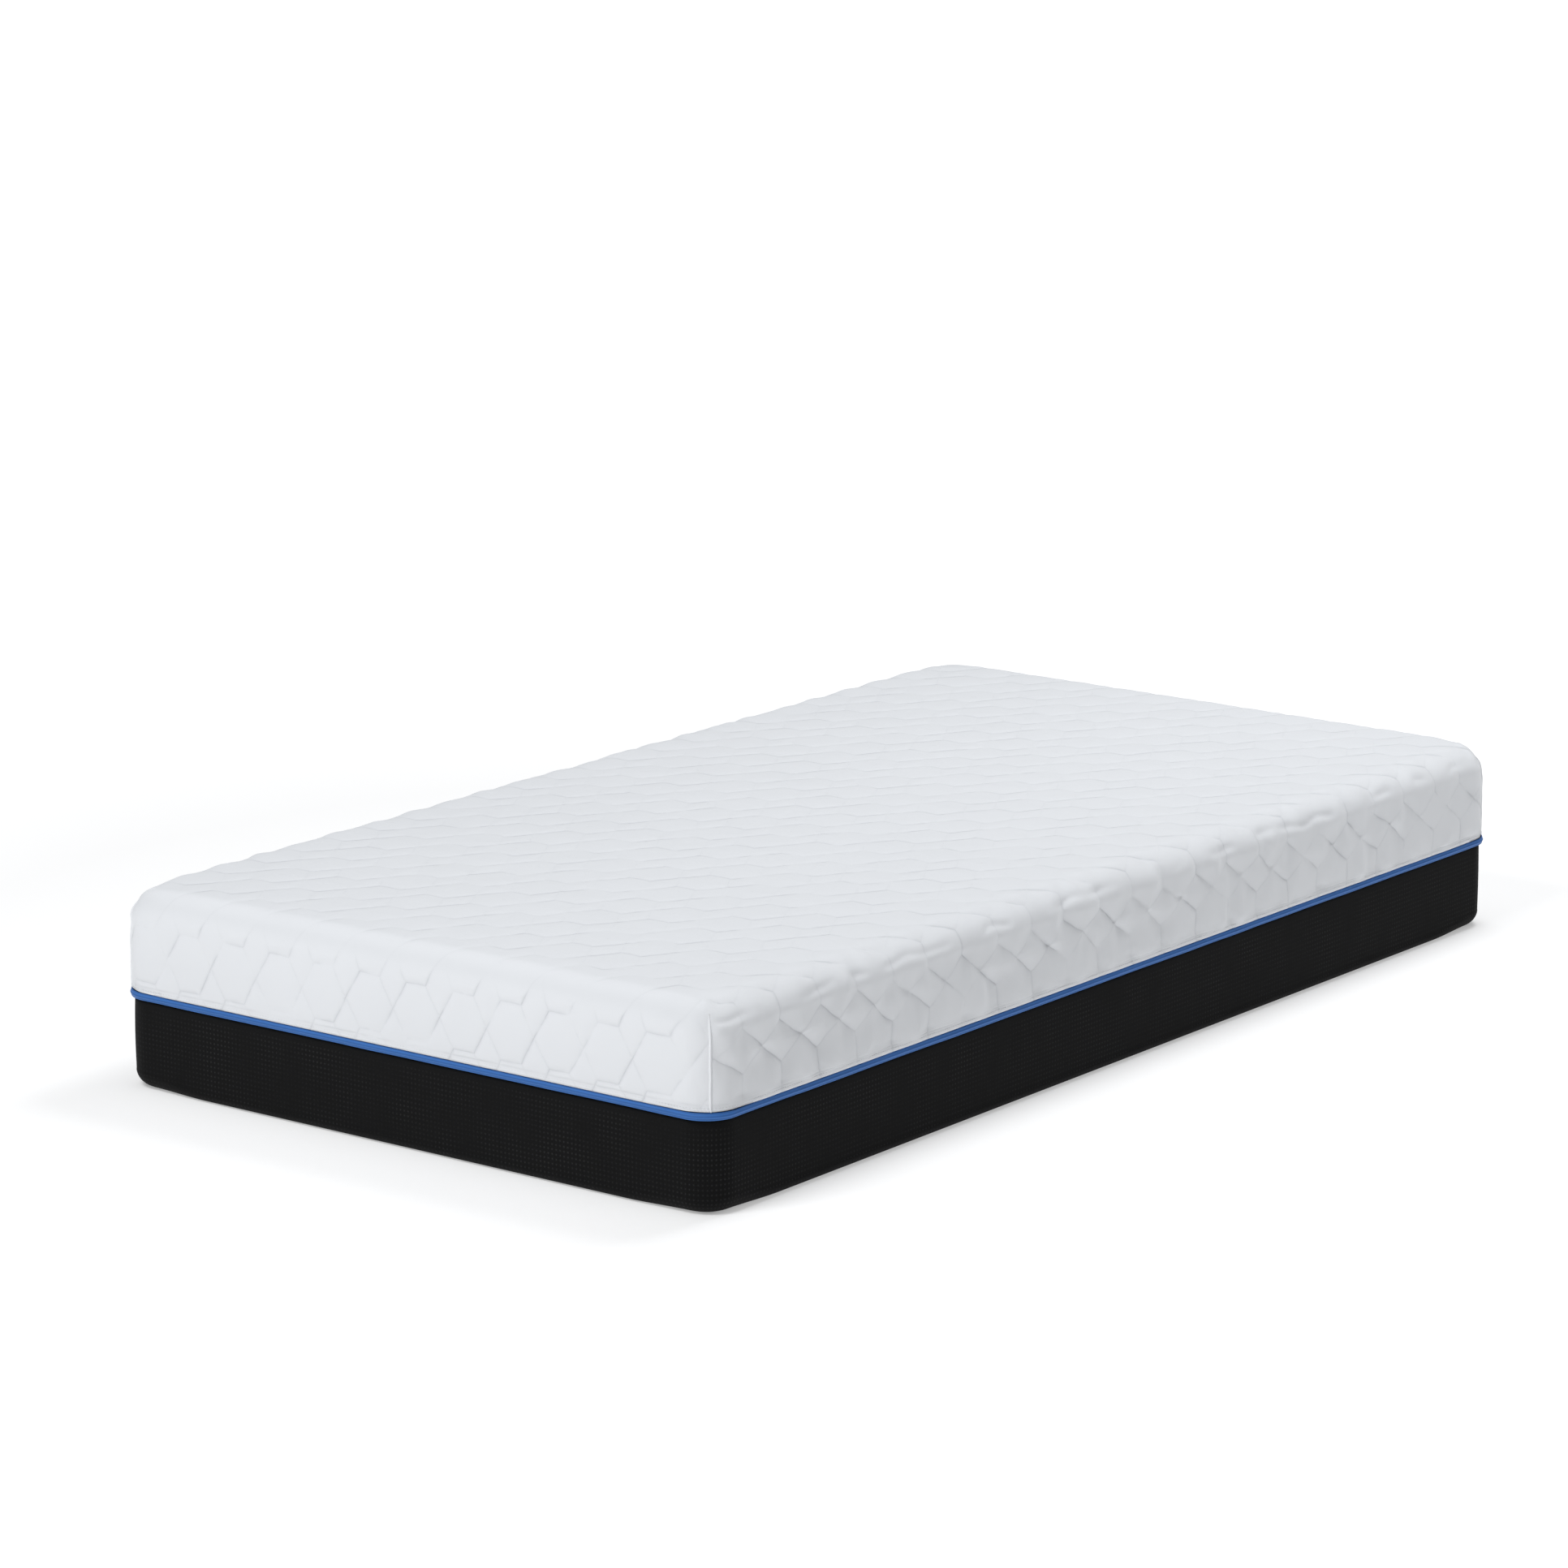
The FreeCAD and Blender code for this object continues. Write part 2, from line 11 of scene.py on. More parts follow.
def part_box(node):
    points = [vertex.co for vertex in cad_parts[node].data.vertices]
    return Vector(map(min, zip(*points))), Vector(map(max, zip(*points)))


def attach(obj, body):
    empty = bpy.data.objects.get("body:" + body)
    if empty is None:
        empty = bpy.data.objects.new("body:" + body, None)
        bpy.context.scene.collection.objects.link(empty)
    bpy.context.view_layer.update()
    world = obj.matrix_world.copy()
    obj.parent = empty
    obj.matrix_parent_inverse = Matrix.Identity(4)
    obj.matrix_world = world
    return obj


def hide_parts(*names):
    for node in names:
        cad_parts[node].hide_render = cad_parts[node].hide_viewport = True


bl_info = {
    "name": "Foam mattress covers",
    "version": (1, 0, 0),
    "blender": (4, 5, 0),
    "location": "3D View > Sidebar > Mattress",
    "description": "Quilted cover, piping, knitted border, zip and finishes for a foam mattress",
    "category": "Object",
}

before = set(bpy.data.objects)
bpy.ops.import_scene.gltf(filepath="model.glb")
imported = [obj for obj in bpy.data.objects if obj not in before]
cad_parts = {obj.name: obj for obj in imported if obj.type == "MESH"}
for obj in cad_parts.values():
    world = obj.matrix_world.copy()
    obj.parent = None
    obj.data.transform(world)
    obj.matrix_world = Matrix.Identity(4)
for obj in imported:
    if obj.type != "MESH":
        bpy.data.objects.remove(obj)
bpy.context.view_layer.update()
MM = 0.001
TURN = 2 * math.pi

# Sizes that the CAD model settles, read from its nodes
COVER_LOW, COVER_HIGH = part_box("cover_face_fabric")
HALF_X, HALF_Y, TOP = COVER_HIGH
HEM = COVER_LOW.z
BORDER_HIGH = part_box("border_panel")[1]
BORDER_INSET = HALF_X - BORDER_HIGH.x
PIPING_LOW, PIPING_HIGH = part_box("piping_fabric")

# Sizes of the soft shapes
HEM_EDGE = HEM + 2.4 * MM  # lower edge of the quilted face
CORNER = 51 * MM  # radius of the plan corners
ROLL = 38 * MM  # radius of the rolled upper edge
GRID_INSET = 110 * MM  # from the sides to the plain grid in the middle of a top
LIP = 38 * MM  # how far in the border's turned-under lip reaches
WINDOW_TOP = 104.2 * MM  # the border's top edge where it leaves the zip open to view

# Where the quilt's pattern starts to be pulled, in repeats from its start
SIDE_EDGE_LINE, END_EDGE_LINE = 9, 3
# Length of pattern to a length of cloth: down the sides, over the end's edge, and below that
SIDE_PULL, END_PULL, END_HANG = 0.83, 0.805, 1.03
END_PULLED = 95.1 * MM  # length of cloth that END_PULL holds for


# ---------------------------------------------------------------- numbers


def smooth(low, high, value):
    """0 up to low, 1 from high, and an even rise between them."""
    t = np.clip((value - low) / (high - low), 0, 1)
    return t * t * (3 - 2 * t)


def hill(value, middle, width):
    """1 where value is middle, dying out over two widths to either side."""
    return np.exp(-(((value - middle) / width) ** 2))


def ripple(x, y, size, seed):
    """Seeded smooth noise over a plane, from -1 to 1, with features about size wide."""
    table = np.random.default_rng(seed).uniform(-1, 1, (97, 97))
    x, y = np.broadcast_arrays(x, y)
    cell_x, cell_y = np.floor(x / size).astype(int), np.floor(y / size).astype(int)
    t_x, t_y = smooth(0, 1, x / size - cell_x), smooth(0, 1, y / size - cell_y)
    low_x, high_x, low_y, high_y = cell_x % 97, (cell_x + 1) % 97, cell_y % 97, (cell_y + 1) % 97
    near = table[low_x, low_y] * (1 - t_x) + table[high_x, low_y] * t_x
    far = table[low_x, high_y] * (1 - t_x) + table[high_x, high_y] * t_x
    return near * (1 - t_y) + far * t_y


class Outline:
    """Stations anticlockwise round a rounded rectangle, from the middle of its front right bend.

    Side 0 faces +X, side 1 +Y, side 2 -X and side 3 -Y. Sides meet in the middle of the bends."""

    CORNERS = ((1, -1), (1, 1), (-1, 1), (-1, -1))

    def __init__(self, half_x, half_y, radius, step, bend):
        self.half_x, self.half_y, self.radius = half_x, half_y, radius
        slides, angles, sides = [], [], []
        self.counts = []
        for side, start in enumerate(self.CORNERS):
            end = self.CORNERS[(side + 1) % 4]
            facing = side * math.pi / 2
            run = 2 * ((half_y if side % 2 == 0 else half_x) - radius)
            straight = max(2, round(run / step))
            for i in range(bend):
                slides.append(start)
                angles.append(facing - math.pi / 4 * (1 - i / bend))
            for i in range(straight):
                t = i / straight
                slides.append((start[0] * (1 - t) + end[0] * t, start[1] * (1 - t) + end[1] * t))
                angles.append(facing)
            for i in range(bend):
                slides.append(end)
                angles.append(facing + math.pi / 4 * i / bend)
            self.counts.append(2 * bend + straight)
            sides += [side] * self.counts[-1]
        self.slide = np.array(slides, float)
        self.angle = np.array(angles)
        self.side = np.array(sides)
        self.normal = np.stack([np.cos(self.angle), np.sin(self.angle)], 1)
        self.size = len(sides)

    def at(self, inset):
        """The stations' places in plan, inset from the outline. inset may differ between them."""
        inset = np.broadcast_to(inset, self.size)
        radius = np.maximum(self.radius - inset, 0.5 * MM)
        reach = np.stack([self.half_x - inset - radius, self.half_y - inset - radius], 1)
        return self.slide * reach + radius[:, None] * self.normal

    def along(self, side):
        """How far along its side each station is, in the X or Y of the outline, round the bends too."""
        turn = (self.angle - side * math.pi / 2 + math.pi) % TURN - math.pi
        turn = np.clip(turn, -math.pi / 4, math.pi / 4) * self.radius
        if side % 2 == 0:
            return self.slide[:, 1] * (self.half_y - self.radius) + (turn if side == 0 else -turn)
        return self.slide[:, 0] * (self.half_x - self.radius) + (turn if side == 3 else -turn)

    def rectangle(self, half_x, half_y):
        """The same number of stations a side, evenly spaced round a plain rectangle."""
        places = []
        for side, (x, y) in enumerate(self.CORNERS):
            end_x, end_y = self.CORNERS[(side + 1) % 4]
            t = np.arange(self.counts[side]) / self.counts[side]
            places.append(np.stack([x + (end_x - x) * t, y + (end_y - y) * t], 1))
        return np.concatenate(places) * (half_x, half_y)


# ---------------------------------------------------------------- meshes


def new_object(name, points, quads, materials, face_materials=None, cap=None, more=()):
    """A smooth mesh object from points and faces. cap and more are faces with other numbers of corners."""
    mesh = bpy.data.meshes.new(name)
    faces = np.asarray(quads).tolist() + [list(face) for face in more]
    if cap is not None:
        faces.append(np.asarray(cap).tolist())
    mesh.from_pydata(np.asarray(points, float).tolist(), [], faces)
    for material in materials:
        mesh.materials.append(material)
    if face_materials is not None:
        mesh.polygons.foreach_set("material_index", np.asarray(face_materials, np.int32))
    mesh.polygons.foreach_set("use_smooth", np.full(len(mesh.polygons), True))
    mesh.update()
    made = bpy.data.objects.new(name, mesh)
    bpy.context.scene.collection.objects.link(made)
    return made


def settle(piece, body, slot, *replaced):
    """Rides on its body and stands for CAD nodes, which it hides. slot is not used."""
    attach(piece, body)
    if replaced:
        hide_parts(*replaced)
    return piece


def ring_quads(rings, size, closed=False):
    """Faces between neighbouring rings of a loft whose rings each have size stations."""
    station = np.arange(size)
    after = (station + 1) % size
    quads = []
    for ring in range(rings if closed else rings - 1):
        low, high = ring * size, (ring + 1) % rings * size
        quads.append(np.stack([low + station, low + after, high + after, high + station], 1))
    return np.concatenate(quads)


def profile_rings(outline, profile):
    """A ring of points for each (inset, z) of a profile. Both may be arrays with a value for each station."""
    return [np.column_stack([outline.at(inset), np.broadcast_to(z, outline.size)]) for inset, z in profile]


def band(name, outline, profile, material):
    """A closed profile carried round an outline, clockwise as seen with the outside on the left."""
    rings = profile_rings(outline, profile)
    faces = ring_quads(len(rings), outline.size, closed=True)
    return new_object(name, np.concatenate(rings), faces, [material])


def grid_quads(columns, rows):
    """Faces of a flat grid of points that runs along x first, facing up."""
    index = np.arange(rows * columns).reshape(rows, columns)
    return np.stack([index[:-1, :-1], index[:-1, 1:], index[1:, 1:], index[1:, :-1]], -1).reshape(-1, 4)


def slab_faces(columns, rows):
    """Faces of a closed slab between two equal upright grids of points, the outer one second."""
    inner, half = grid_quads(columns, rows), rows * columns
    index = np.arange(half).reshape(rows, columns)
    edge = np.concatenate([index[0], index[1:, -1], index[-1, -2::-1], index[-2:0:-1, 0]])
    after = np.roll(edge, -1)
    rim = np.stack([after, edge, edge + half, after + half], 1)
    return np.concatenate([inner, inner[:, ::-1] + half, rim])


def travel(plan, facing):
    """The length of a closed path in plan, and a function from distances to places and facings on it."""
    plan, facing = np.vstack([plan, plan[:1]]), np.vstack([facing, facing[:1]])
    travelled = np.concatenate([[0], np.cumsum(np.linalg.norm(np.diff(plan, axis=0), axis=1))])

    def place(distance):
        return [np.stack([np.interp(distance, travelled, values[:, i]) for i in (0, 1)], 1)
                for values in (plan, facing)]

    return travelled[-1], place


def stitches(name, starts, ends, outward, radius, rise, material, sides=6, rings=6):
    """Short bowed threads from starts to ends, whose middles stand out by rise along outward."""
    starts, ends, outward = (np.asarray(a, float) for a in (starts, ends, outward))
    run = ends - starts
    run /= np.linalg.norm(run, axis=1, keepdims=True)
    across = np.cross(run, outward)
    points = []
    for ring in range(rings):
        t = ring / (rings - 1)
        middle = starts + (ends - starts) * t + outward * (rise * math.sin(math.pi * t))
        width = radius * (0.45 + 0.55 * math.sin(math.pi * t) ** 0.5)
        for side in range(sides):
            a = TURN * side / sides
            points.append(middle + across * (width * math.cos(a)) + outward * (width * math.sin(a)))
    points = np.stack(points, 1)
    faces = ring_quads(rings, sides)[:, [0, 3, 2, 1]]
    caps = [tuple(range(sides)), tuple(range(rings * sides - 1, (rings - 1) * sides - 1, -1))]
    count = len(starts)
    shift = np.arange(count)[:, None, None] * (rings * sides)
    quads = (faces[None] + shift).reshape(-1, 4)
    ends_of = (np.array(caps)[None] + shift).reshape(-1, sides).tolist()
    return new_object(name, points.reshape(-1, 3), quads, [material], more=ends_of)


def outline_stitches(name, outline, inset, z, length, pitch, radius, rise, material):
    """A row of stitches all round an outline."""
    length_round, place = travel(outline.at(inset), outline.normal)
    first = np.arange(0, length_round - pitch, pitch)

    def places(distance):
        xy, out = place(distance)
        out /= np.linalg.norm(out, axis=1, keepdims=True)
        flat = np.zeros((len(xy), 1))
        return np.hstack([xy, flat + z]), np.hstack([out, flat])

    starts, out = places(first)
    ends, _ = places(first + length)
    return stitches(name, starts, ends, out, radius, rise, material, sides=5, rings=4)


# ---------------------------------------------------------------- finishes


def maths(operation, swapped=False):
    """A method of Wire that adds one Math node, with the wire first or, if swapped, last."""

    def method(wire, *others):
        values = (*others, wire) if swapped else (wire, *others)
        node = wire.finish.node("ShaderNodeMath", {"operation": operation}, dict(enumerate(values)))
        return Wire(wire.finish, node.outputs[0])

    return method


class Wire:
    """A shader socket that takes part in arithmetic, by adding Math nodes."""

    def __init__(self, finish, socket):
        self.finish, self.socket = finish, socket

    __add__ = maths("ADD")
    __sub__ = maths("SUBTRACT")
    __rsub__ = maths("SUBTRACT", swapped=True)
    __mul__ = maths("MULTIPLY")
    __pow__ = maths("POWER")
    __mod__ = maths("FLOORED_MODULO")
    __gt__ = maths("GREATER_THAN")
    __abs__ = maths("ABSOLUTE")
    larger = maths("MAXIMUM")
    smaller = maths("MINIMUM")
    sine = maths("SINE")
    exponent = maths("EXPONENT")

    def rise(self, low, high):
        """0 up to low, 1 from high, and a straight rise between them."""
        return ((self - low) * (1 / (high - low))).larger(0.0).smaller(1.0)

    def fall(self, width):
        """1 where this is 0, falling to nothing over a few widths."""
        return (self * (-1 / width)).exponent()


class Finish:
    """A material in the making."""

    def __init__(self, name):
        self.material = bpy.data.materials.new(name)
        self.material.use_nodes = True
        self.tree = self.material.node_tree
        self.tree.nodes.clear()

    def node(self, kind, settings=None, values=None):
        """One node: its settings are set first, then its sockets by name or index."""
        made = self.tree.nodes.new(kind)
        for key, value in (settings or {}).items():
            setattr(made, key, value)
        for key, value in (values or {}).items():
            if isinstance(value, Wire):
                self.tree.links.new(value.socket, made.inputs[key])
            elif isinstance(value, bpy.types.NodeSocket):
                self.tree.links.new(value, made.inputs[key])
            else:
                made.inputs[key].default_value = value
        return made

    def split(self, vector):
        parts = self.node("ShaderNodeSeparateXYZ", None, {0: vector}).outputs
        return [Wire(self, part) for part in parts]

    def place(self):
        """Object coordinates, which are metres in the model's frame."""
        return self.node("ShaderNodeTexCoord").outputs["Object"]

    def cloth(self):
        """Coordinates along the cloth, in metres."""
        return self.node("ShaderNodeUVMap", {"uv_map": "cloth"}).outputs[0]

    def noise(self, vector, scale, detail=3.0, roughness=0.55):
        values = {"Vector": vector, "Scale": scale, "Detail": detail, "Roughness": roughness}
        return Wire(self, self.node("ShaderNodeTexNoise", None, values).outputs[0])

    def mix(self, factor, first, second):
        """A colour between two, each given as (r, g, b) or as a socket."""
        colours = [(*c, 1) if isinstance(c, (tuple, list)) else c for c in (first, second)]
        settings = {"data_type": "RGBA", "clamp_factor": True}
        return self.node("ShaderNodeMix", settings, {0: factor, 6: colours[0], 7: colours[1]}).outputs[2]

    def bump(self, height):
        """A normal from a height in metres."""
        values = {"Height": height, "Strength": 1.0, "Distance": 1.0}
        return self.node("ShaderNodeBump", None, values).outputs[0]

    def close(self, **sockets):
        """Ends the material in a Principled shader. Socket names have _ for spaces."""
        values = {key.replace("_", " "): value for key, value in sockets.items()}
        shader = self.node("ShaderNodeBsdfPrincipled", None, values)
        self.node("ShaderNodeOutputMaterial", None, {"Surface": shader.outputs[0]})
        return self.material


def plain(colour):
    return tuple(colour)[:3]


def shade(colour, factor):
    return tuple(c * factor for c in plain(colour))


def ribs(wire, pitch):
    """A wave from 0 to 1 that repeats every pitch."""
    return (wire * (TURN / pitch)).sine() * 0.5 + 0.5


def quilt_white(colour, quilt):
    """White stretch knit, stitched through along the quilt's lines, with painted shade darkening the creases
    along them.
    """
    f = Finish("quilted_knit")
    across, along, _ = f.split(f.cloth())
    soil = f.noise(f.place(), 9.0)
    fine = f.noise(f.place(), 700.0, 2.0)
    to_dash, to_slant, rising = quilt_lines(across, along, quilt, Wire.larger)
    patchy = (f.noise(f.place(), 21.0, 3.0) * 4.6 - 1.75).larger(0.06).smaller(1.0)
    _, long_way, z = f.split(f.place())
    flat = z.rise(TOP - 14 * MM, TOP - 4 * MM)
    falling = 0.42 - flat * 0.26
    slanting = to_slant.fall(1.5 * MM) * (rising * (1.0 - falling) + falling)
    fold = slanting.larger(to_dash.fall(1.5 * MM) * 0.75) * patchy
    on_roll = abs(long_way).rise(HALF_Y - 42 * MM, HALF_Y - 28 * MM) * z.rise(TOP - 34 * MM, TOP - 22 * MM)
    fold = fold * (1.0 - on_roll * 0.8)
    hem_crease = abs(z - (HEM_EDGE + 7 * MM) - soil * (3 * MM)).fall(1.2 * MM)
    fold = fold.larger(hem_crease * patchy * 0.55)
    knit = ribs(across, 1.3 * MM) * ribs(along, 1.1 * MM)
    height = knit * (0.05 * MM) + fine * (0.05 * MM) - fold * (0.7 * MM)
    base = f.mix(soil, shade(colour, 0.975), plain(colour))
    # Painted shade: the creases along the quilt's lines, and the one above the hem, are painted a darker,
    # bluer white. The lines that rise to the right get more of it than those that fall. The same masks also
    # sink the bump.
    crease_shaded = f.mix(fold * 0.42, base, (colour[0] * 0.60, colour[1] * 0.61, colour[2] * 0.64))
    return f.close(Base_Color=crease_shaded, Roughness=fine * 0.12 + 0.8, Normal=f.bump(height),
                   Sheen_Weight=0.25, Sheen_Roughness=0.5)


def quilt_lines(u, v, quilt, larger):
    """Distances to the nearest straight and slanting lines, and whether that one rises to the right.

    u and v may be arrays or shader wires; larger picks the larger of two of them."""
    cell_x = (u + quilt.pitch_across / 2) % quilt.pitch_across - quilt.pitch_across / 2
    cell_y = (v + quilt.pitch_along / 2) % quilt.pitch_along - quilt.pitch_along / 2
    past, up = abs(cell_x) - quilt.dash / 2, abs(cell_y)
    beyond = larger(past, 0.0)
    run, rise = (quilt.pitch_across - quilt.dash) / 2, quilt.pitch_along / 2
    lean_x, lean_y = run / math.hypot(run, rise), rise / math.hypot(run, rise)
    short = larger((past * lean_x + up * lean_y) * -1.0, 0.0)
    to_slant = abs(past * lean_y - up * lean_x) + short
    return (beyond * beyond + up * up) ** 0.5, to_slant, cell_x * cell_y > 0.0


def thread_cloth(name, colour):
    """Turned edge of the quilted knit."""
    f = Finish(name)
    x, y, z = f.split(f.place())
    rows = ribs(z + (x + y) * 0.3, 1.4 * MM)
    soil = f.noise(f.place(), 90.0)
    base = f.mix(rows * 0.4 + soil * 0.6, shade(colour, 0.95), shade(colour, 1.06))
    return f.close(Base_Color=base, Roughness=rows * 0.1 + 0.75, Normal=f.bump(rows * (0.05 * MM)),
                   Sheen_Weight=0.2, Sheen_Roughness=0.5)


def knit_cloth(name, colour, pitch=1.2 * MM, depth=0.08 * MM, sheen=0.2, rough=0.82, vary=0.06):
    """Plain knitted or woven cloth, patterned by place."""
    f = Finish(name)
    x, y, z = f.split(f.place())
    weave = ribs(x + y, pitch) * ribs(z + (x - y) * 0.35, pitch * 0.8)
    soil, fine = f.noise(f.place(), 25.0), f.noise(f.place(), 900.0, 2.0)
    base = f.mix(weave * 0.6 + soil * 0.4, shade(colour, 1 - 2.5 * vary), shade(colour, 1 + vary))
    return f.close(Base_Color=base, Roughness=fine * 0.1 + (rough - 0.05),
                   Normal=f.bump(weave * depth + fine * (0.04 * MM)),
                   Sheen_Weight=sheen, Sheen_Roughness=0.45, Specular_IOR_Level=0.2)


def thread_finish(name, colour):
    """Twisted sewing thread."""
    f = Finish(name)
    x, y, z = f.split(f.place())
    twist = ribs(x + y + z * 1.6, 0.55 * MM)
    base = f.mix(twist, shade(colour, 0.78), plain(colour))
    return f.close(Base_Color=base, Roughness=twist * 0.1 + 0.5, Normal=f.bump(twist * (0.04 * MM)),
                   Sheen_Weight=0.2, Sheen_Roughness=0.4)


def piping_blue(colour):
    """Ribbed piping cloth, with stripes along it that the tube's ridges carry too."""
    f = Finish("piping_blue")
    _, _, z = f.split(f.place())
    twill = f.noise(f.place(), 700.0, 2.0)
    stripes = ribs(z + 0.3 * MM, 3.6 * MM)
    soil = f.noise(f.place(), 60.0)
    base = f.mix(stripes * 0.75 + soil * 0.25, shade(colour, 0.74), shade(colour, 1.16))
    return f.close(Base_Color=base, Roughness=twill * 0.1 + 0.55,
                   Normal=f.bump(twill * (0.02 * MM) + stripes * (0.12 * MM)),
                   Sheen_Weight=0.08, Sheen_Roughness=0.4, Specular_IOR_Level=0.3)


def border_black(colour, dots):
    """Black spacer knit with a square grid of small raised loops, painted lighter than the ground as a
    highlight of their sheen.
    """
    f = Finish("border_knit")
    across, along, _ = f.split(f.cloth())
    pitch = 6.4 * MM
    grid = ribs(across, pitch) ** 3.0 * ribs(along, pitch) ** 3.0
    threads = ribs(across, pitch / 4) * 0.5 + ribs(along, pitch / 5) * 0.5
    patchy = (f.noise(f.place(), 14.0, 2.0) * 2.4 - 0.7).larger(0.15).smaller(1.0)
    # Painted highlight: the raised loops take the lighter loop colour, in patches, fading out from 13 to 7 mm
    # below the top edge. The same mask also raises them in the bump.
    raised_loops_and_highlight = grid * patchy * (along * -1.0).rise(7 * MM, 13 * MM)
    soil, fine = f.noise(f.place(), 11.0), f.noise(f.place(), 800.0, 2.0)
    ground = f.mix(threads * 0.6 + soil * 0.4, shade(colour, 0.8), shade(colour, 1.12))
    base = f.mix(raised_loops_and_highlight * 0.6, ground, plain(dots))
    height = raised_loops_and_highlight * (0.22 * MM) + threads * (0.1 * MM) + fine * (0.04 * MM)
    return f.close(Base_Color=base, Roughness=fine * 0.1 + 0.78, Normal=f.bump(height),
                   Sheen_Weight=0.012, Sheen_Roughness=0.5, Specular_IOR_Level=0.12)


def foam_finish(name, colour):
    """Open-cell foam."""
    f = Finish(name)
    values = {"Vector": f.place(), "Scale": 420.0, "Randomness": 1.0}
    cells = Wire(f, f.node("ShaderNodeTexVoronoi", {"feature": "F1"}, values).outputs["Distance"])
    soil = f.noise(f.place(), 14.0)
    pores = (cells * 1.6).smaller(1.0)
    base = f.mix(pores * 0.7 + soil * 0.3, shade(colour, 0.86), plain(colour))
    return f.close(Base_Color=base, Roughness=pores * 0.1 + 0.85, Normal=f.bump(pores * (0.3 * MM)))


def metal_finish(name, colour):
    """Plated zinc, with fine rub marks."""
    f = Finish(name)
    rub = f.noise(f.place(), 900.0, 3.0)
    wear = f.noise(f.place(), 160.0)
    base = f.mix(wear, shade(colour, 0.85), plain(colour))
    return f.close(Base_Color=base, Metallic=1.0, Roughness=rub * 0.18 + 0.22,
                   Normal=f.bump(rub * (0.01 * MM)))


def nylon_finish(name, colour):
    """Drawn nylon of the zip's coils."""
    f = Finish(name)
    rub, soil = f.noise(f.place(), 1200.0), f.noise(f.place(), 40.0)
    base = f.mix(soil, shade(colour, 0.8), shade(colour, 1.2))
    return f.close(Base_Color=base, Roughness=rub * 0.15 + 0.3, Normal=f.bump(rub * (0.01 * MM)))


def dress(node, material, bevel=None):
    """A CAD node that stays takes a finish, and soft edges if bevel says how wide."""
    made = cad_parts[node]
    made.data.materials.clear()
    made.data.materials.append(material)
    if bevel:
        edge = made.modifiers.new("soft_edges", "BEVEL")
        edge.width, edge.segments, edge.limit_method = bevel, 3, "ANGLE"
        edge.angle_limit = math.radians(40)


# ---------------------------------------------------------------- settings


def size(name, description, default, low=0.0, high=3.0):
    return FloatProperty(name=name, description=description, default=default, min=low, max=high,
                         subtype="DISTANCE", unit="LENGTH", precision=4)


def share(name, description, default):
    return FloatProperty(name=name, description=description, default=default, min=0.0, max=2.0,
                         subtype="FACTOR")


def tint(name, description, default):
    return FloatVectorProperty(name=name, description=description, default=default, min=0.0, max=1.0,
                               subtype="COLOR", size=3)


class MattressQuilt(bpy.types.PropertyGroup):
    """Layout and relief of the quilting."""

    pitch_across: size("Pitch across", "Repeat of the pattern across the bed", 77.7 * MM)
    pitch_along: size("Pitch along", "Repeat of the pattern along the bed", 76.6 * MM)
    dash: size("Straight line", "Length of the straight line shared by two cells", 33 * MM)
    start_across: size("Start across", "Middle of one straight line, across the bed", -286.2 * MM, -1)
    start_along: size("Start along", "Middle of one straight line, along the bed", -629.8 * MM, -1)
    top_relief: size("Top relief", "Depth of the quilting on the top", 1.7 * MM)
    end_relief: size("End relief", "Depth of the quilting on the short ends", 2.5 * MM)
    side_relief: size("Side relief", "Depth of the quilting on the long sides", 6.6 * MM)
    falling: share("Falling lines", "Strength of the lines that fall to the right", 0.32)
    step: size("Mesh step", "Spacing of the cover's mesh", 4.0 * MM)


class MattressCloth(bpy.types.PropertyGroup):
    """Shape of the piping, border, sock and threads."""

    barrel: size("Border belly", "How far the border bellies out at mid height", 0.7 * MM)
    rib_height: size("Piping ribs", "Height of the ribs along the piping", 0.35 * MM)
    piping_rise: size("Piping rise", "How far the sewn piping is pulled up under the quilt", 1.4 * MM)
    dot_pitch: size("Grip dot pitch", "Spacing of the dots under the mattress", 22 * MM)
    dot_radius: size("Grip dot radius", "Radius of a grip dot", 2.2 * MM)
    tooth_pitch: size("Tooth pitch", "Spacing of the zip's teeth", 3.0 * MM)
    stitch: size("Stitch length", "Length of a hem stitch", 3.2 * MM)
    sock_wrinkle: size("Sock wrinkle", "Depth of the wrinkles in the inner sock", 0.7 * MM)


class MattressColours(bpy.types.PropertyGroup):
    """Cloth, foam and metal colours."""

    white: tint("Quilt white", "Upper cover", (0.80, 0.815, 0.84))
    blue: tint("Piping blue", "Piping between the two halves", (0.038, 0.150, 0.450))
    black: tint("Border black", "Knitted border", (0.0052, 0.0052, 0.0054))
    # The loops' colour is much lighter than the black: a painted highlight of the raised loops' sheen.
    dots: tint("Border loops", "Raised loops on the border", (0.040, 0.040, 0.041))
    backing: tint("Backing", "Non-woven cloth inside the cover", (0.66, 0.67, 0.68))
    grip: tint("Underside", "Non-slip cloth", (0.035, 0.035, 0.037))
    sock: tint("Inner sock", "Fire sock round the foam", (0.72, 0.73, 0.74))
    nickel: tint("Zip metal", "Slider, pull and stops", (0.62, 0.61, 0.60))
    nylon: tint("Zip coil", "Coils and tapes", (0.02, 0.02, 0.021))
    memory: tint("Memory foam", "Top foam layer", (0.72, 0.76, 0.80))
    transition: tint("Transition foam", "Middle foam layer", (0.62, 0.74, 0.86))
    support: tint("Support foam", "Base foam layer", (0.78, 0.78, 0.76))


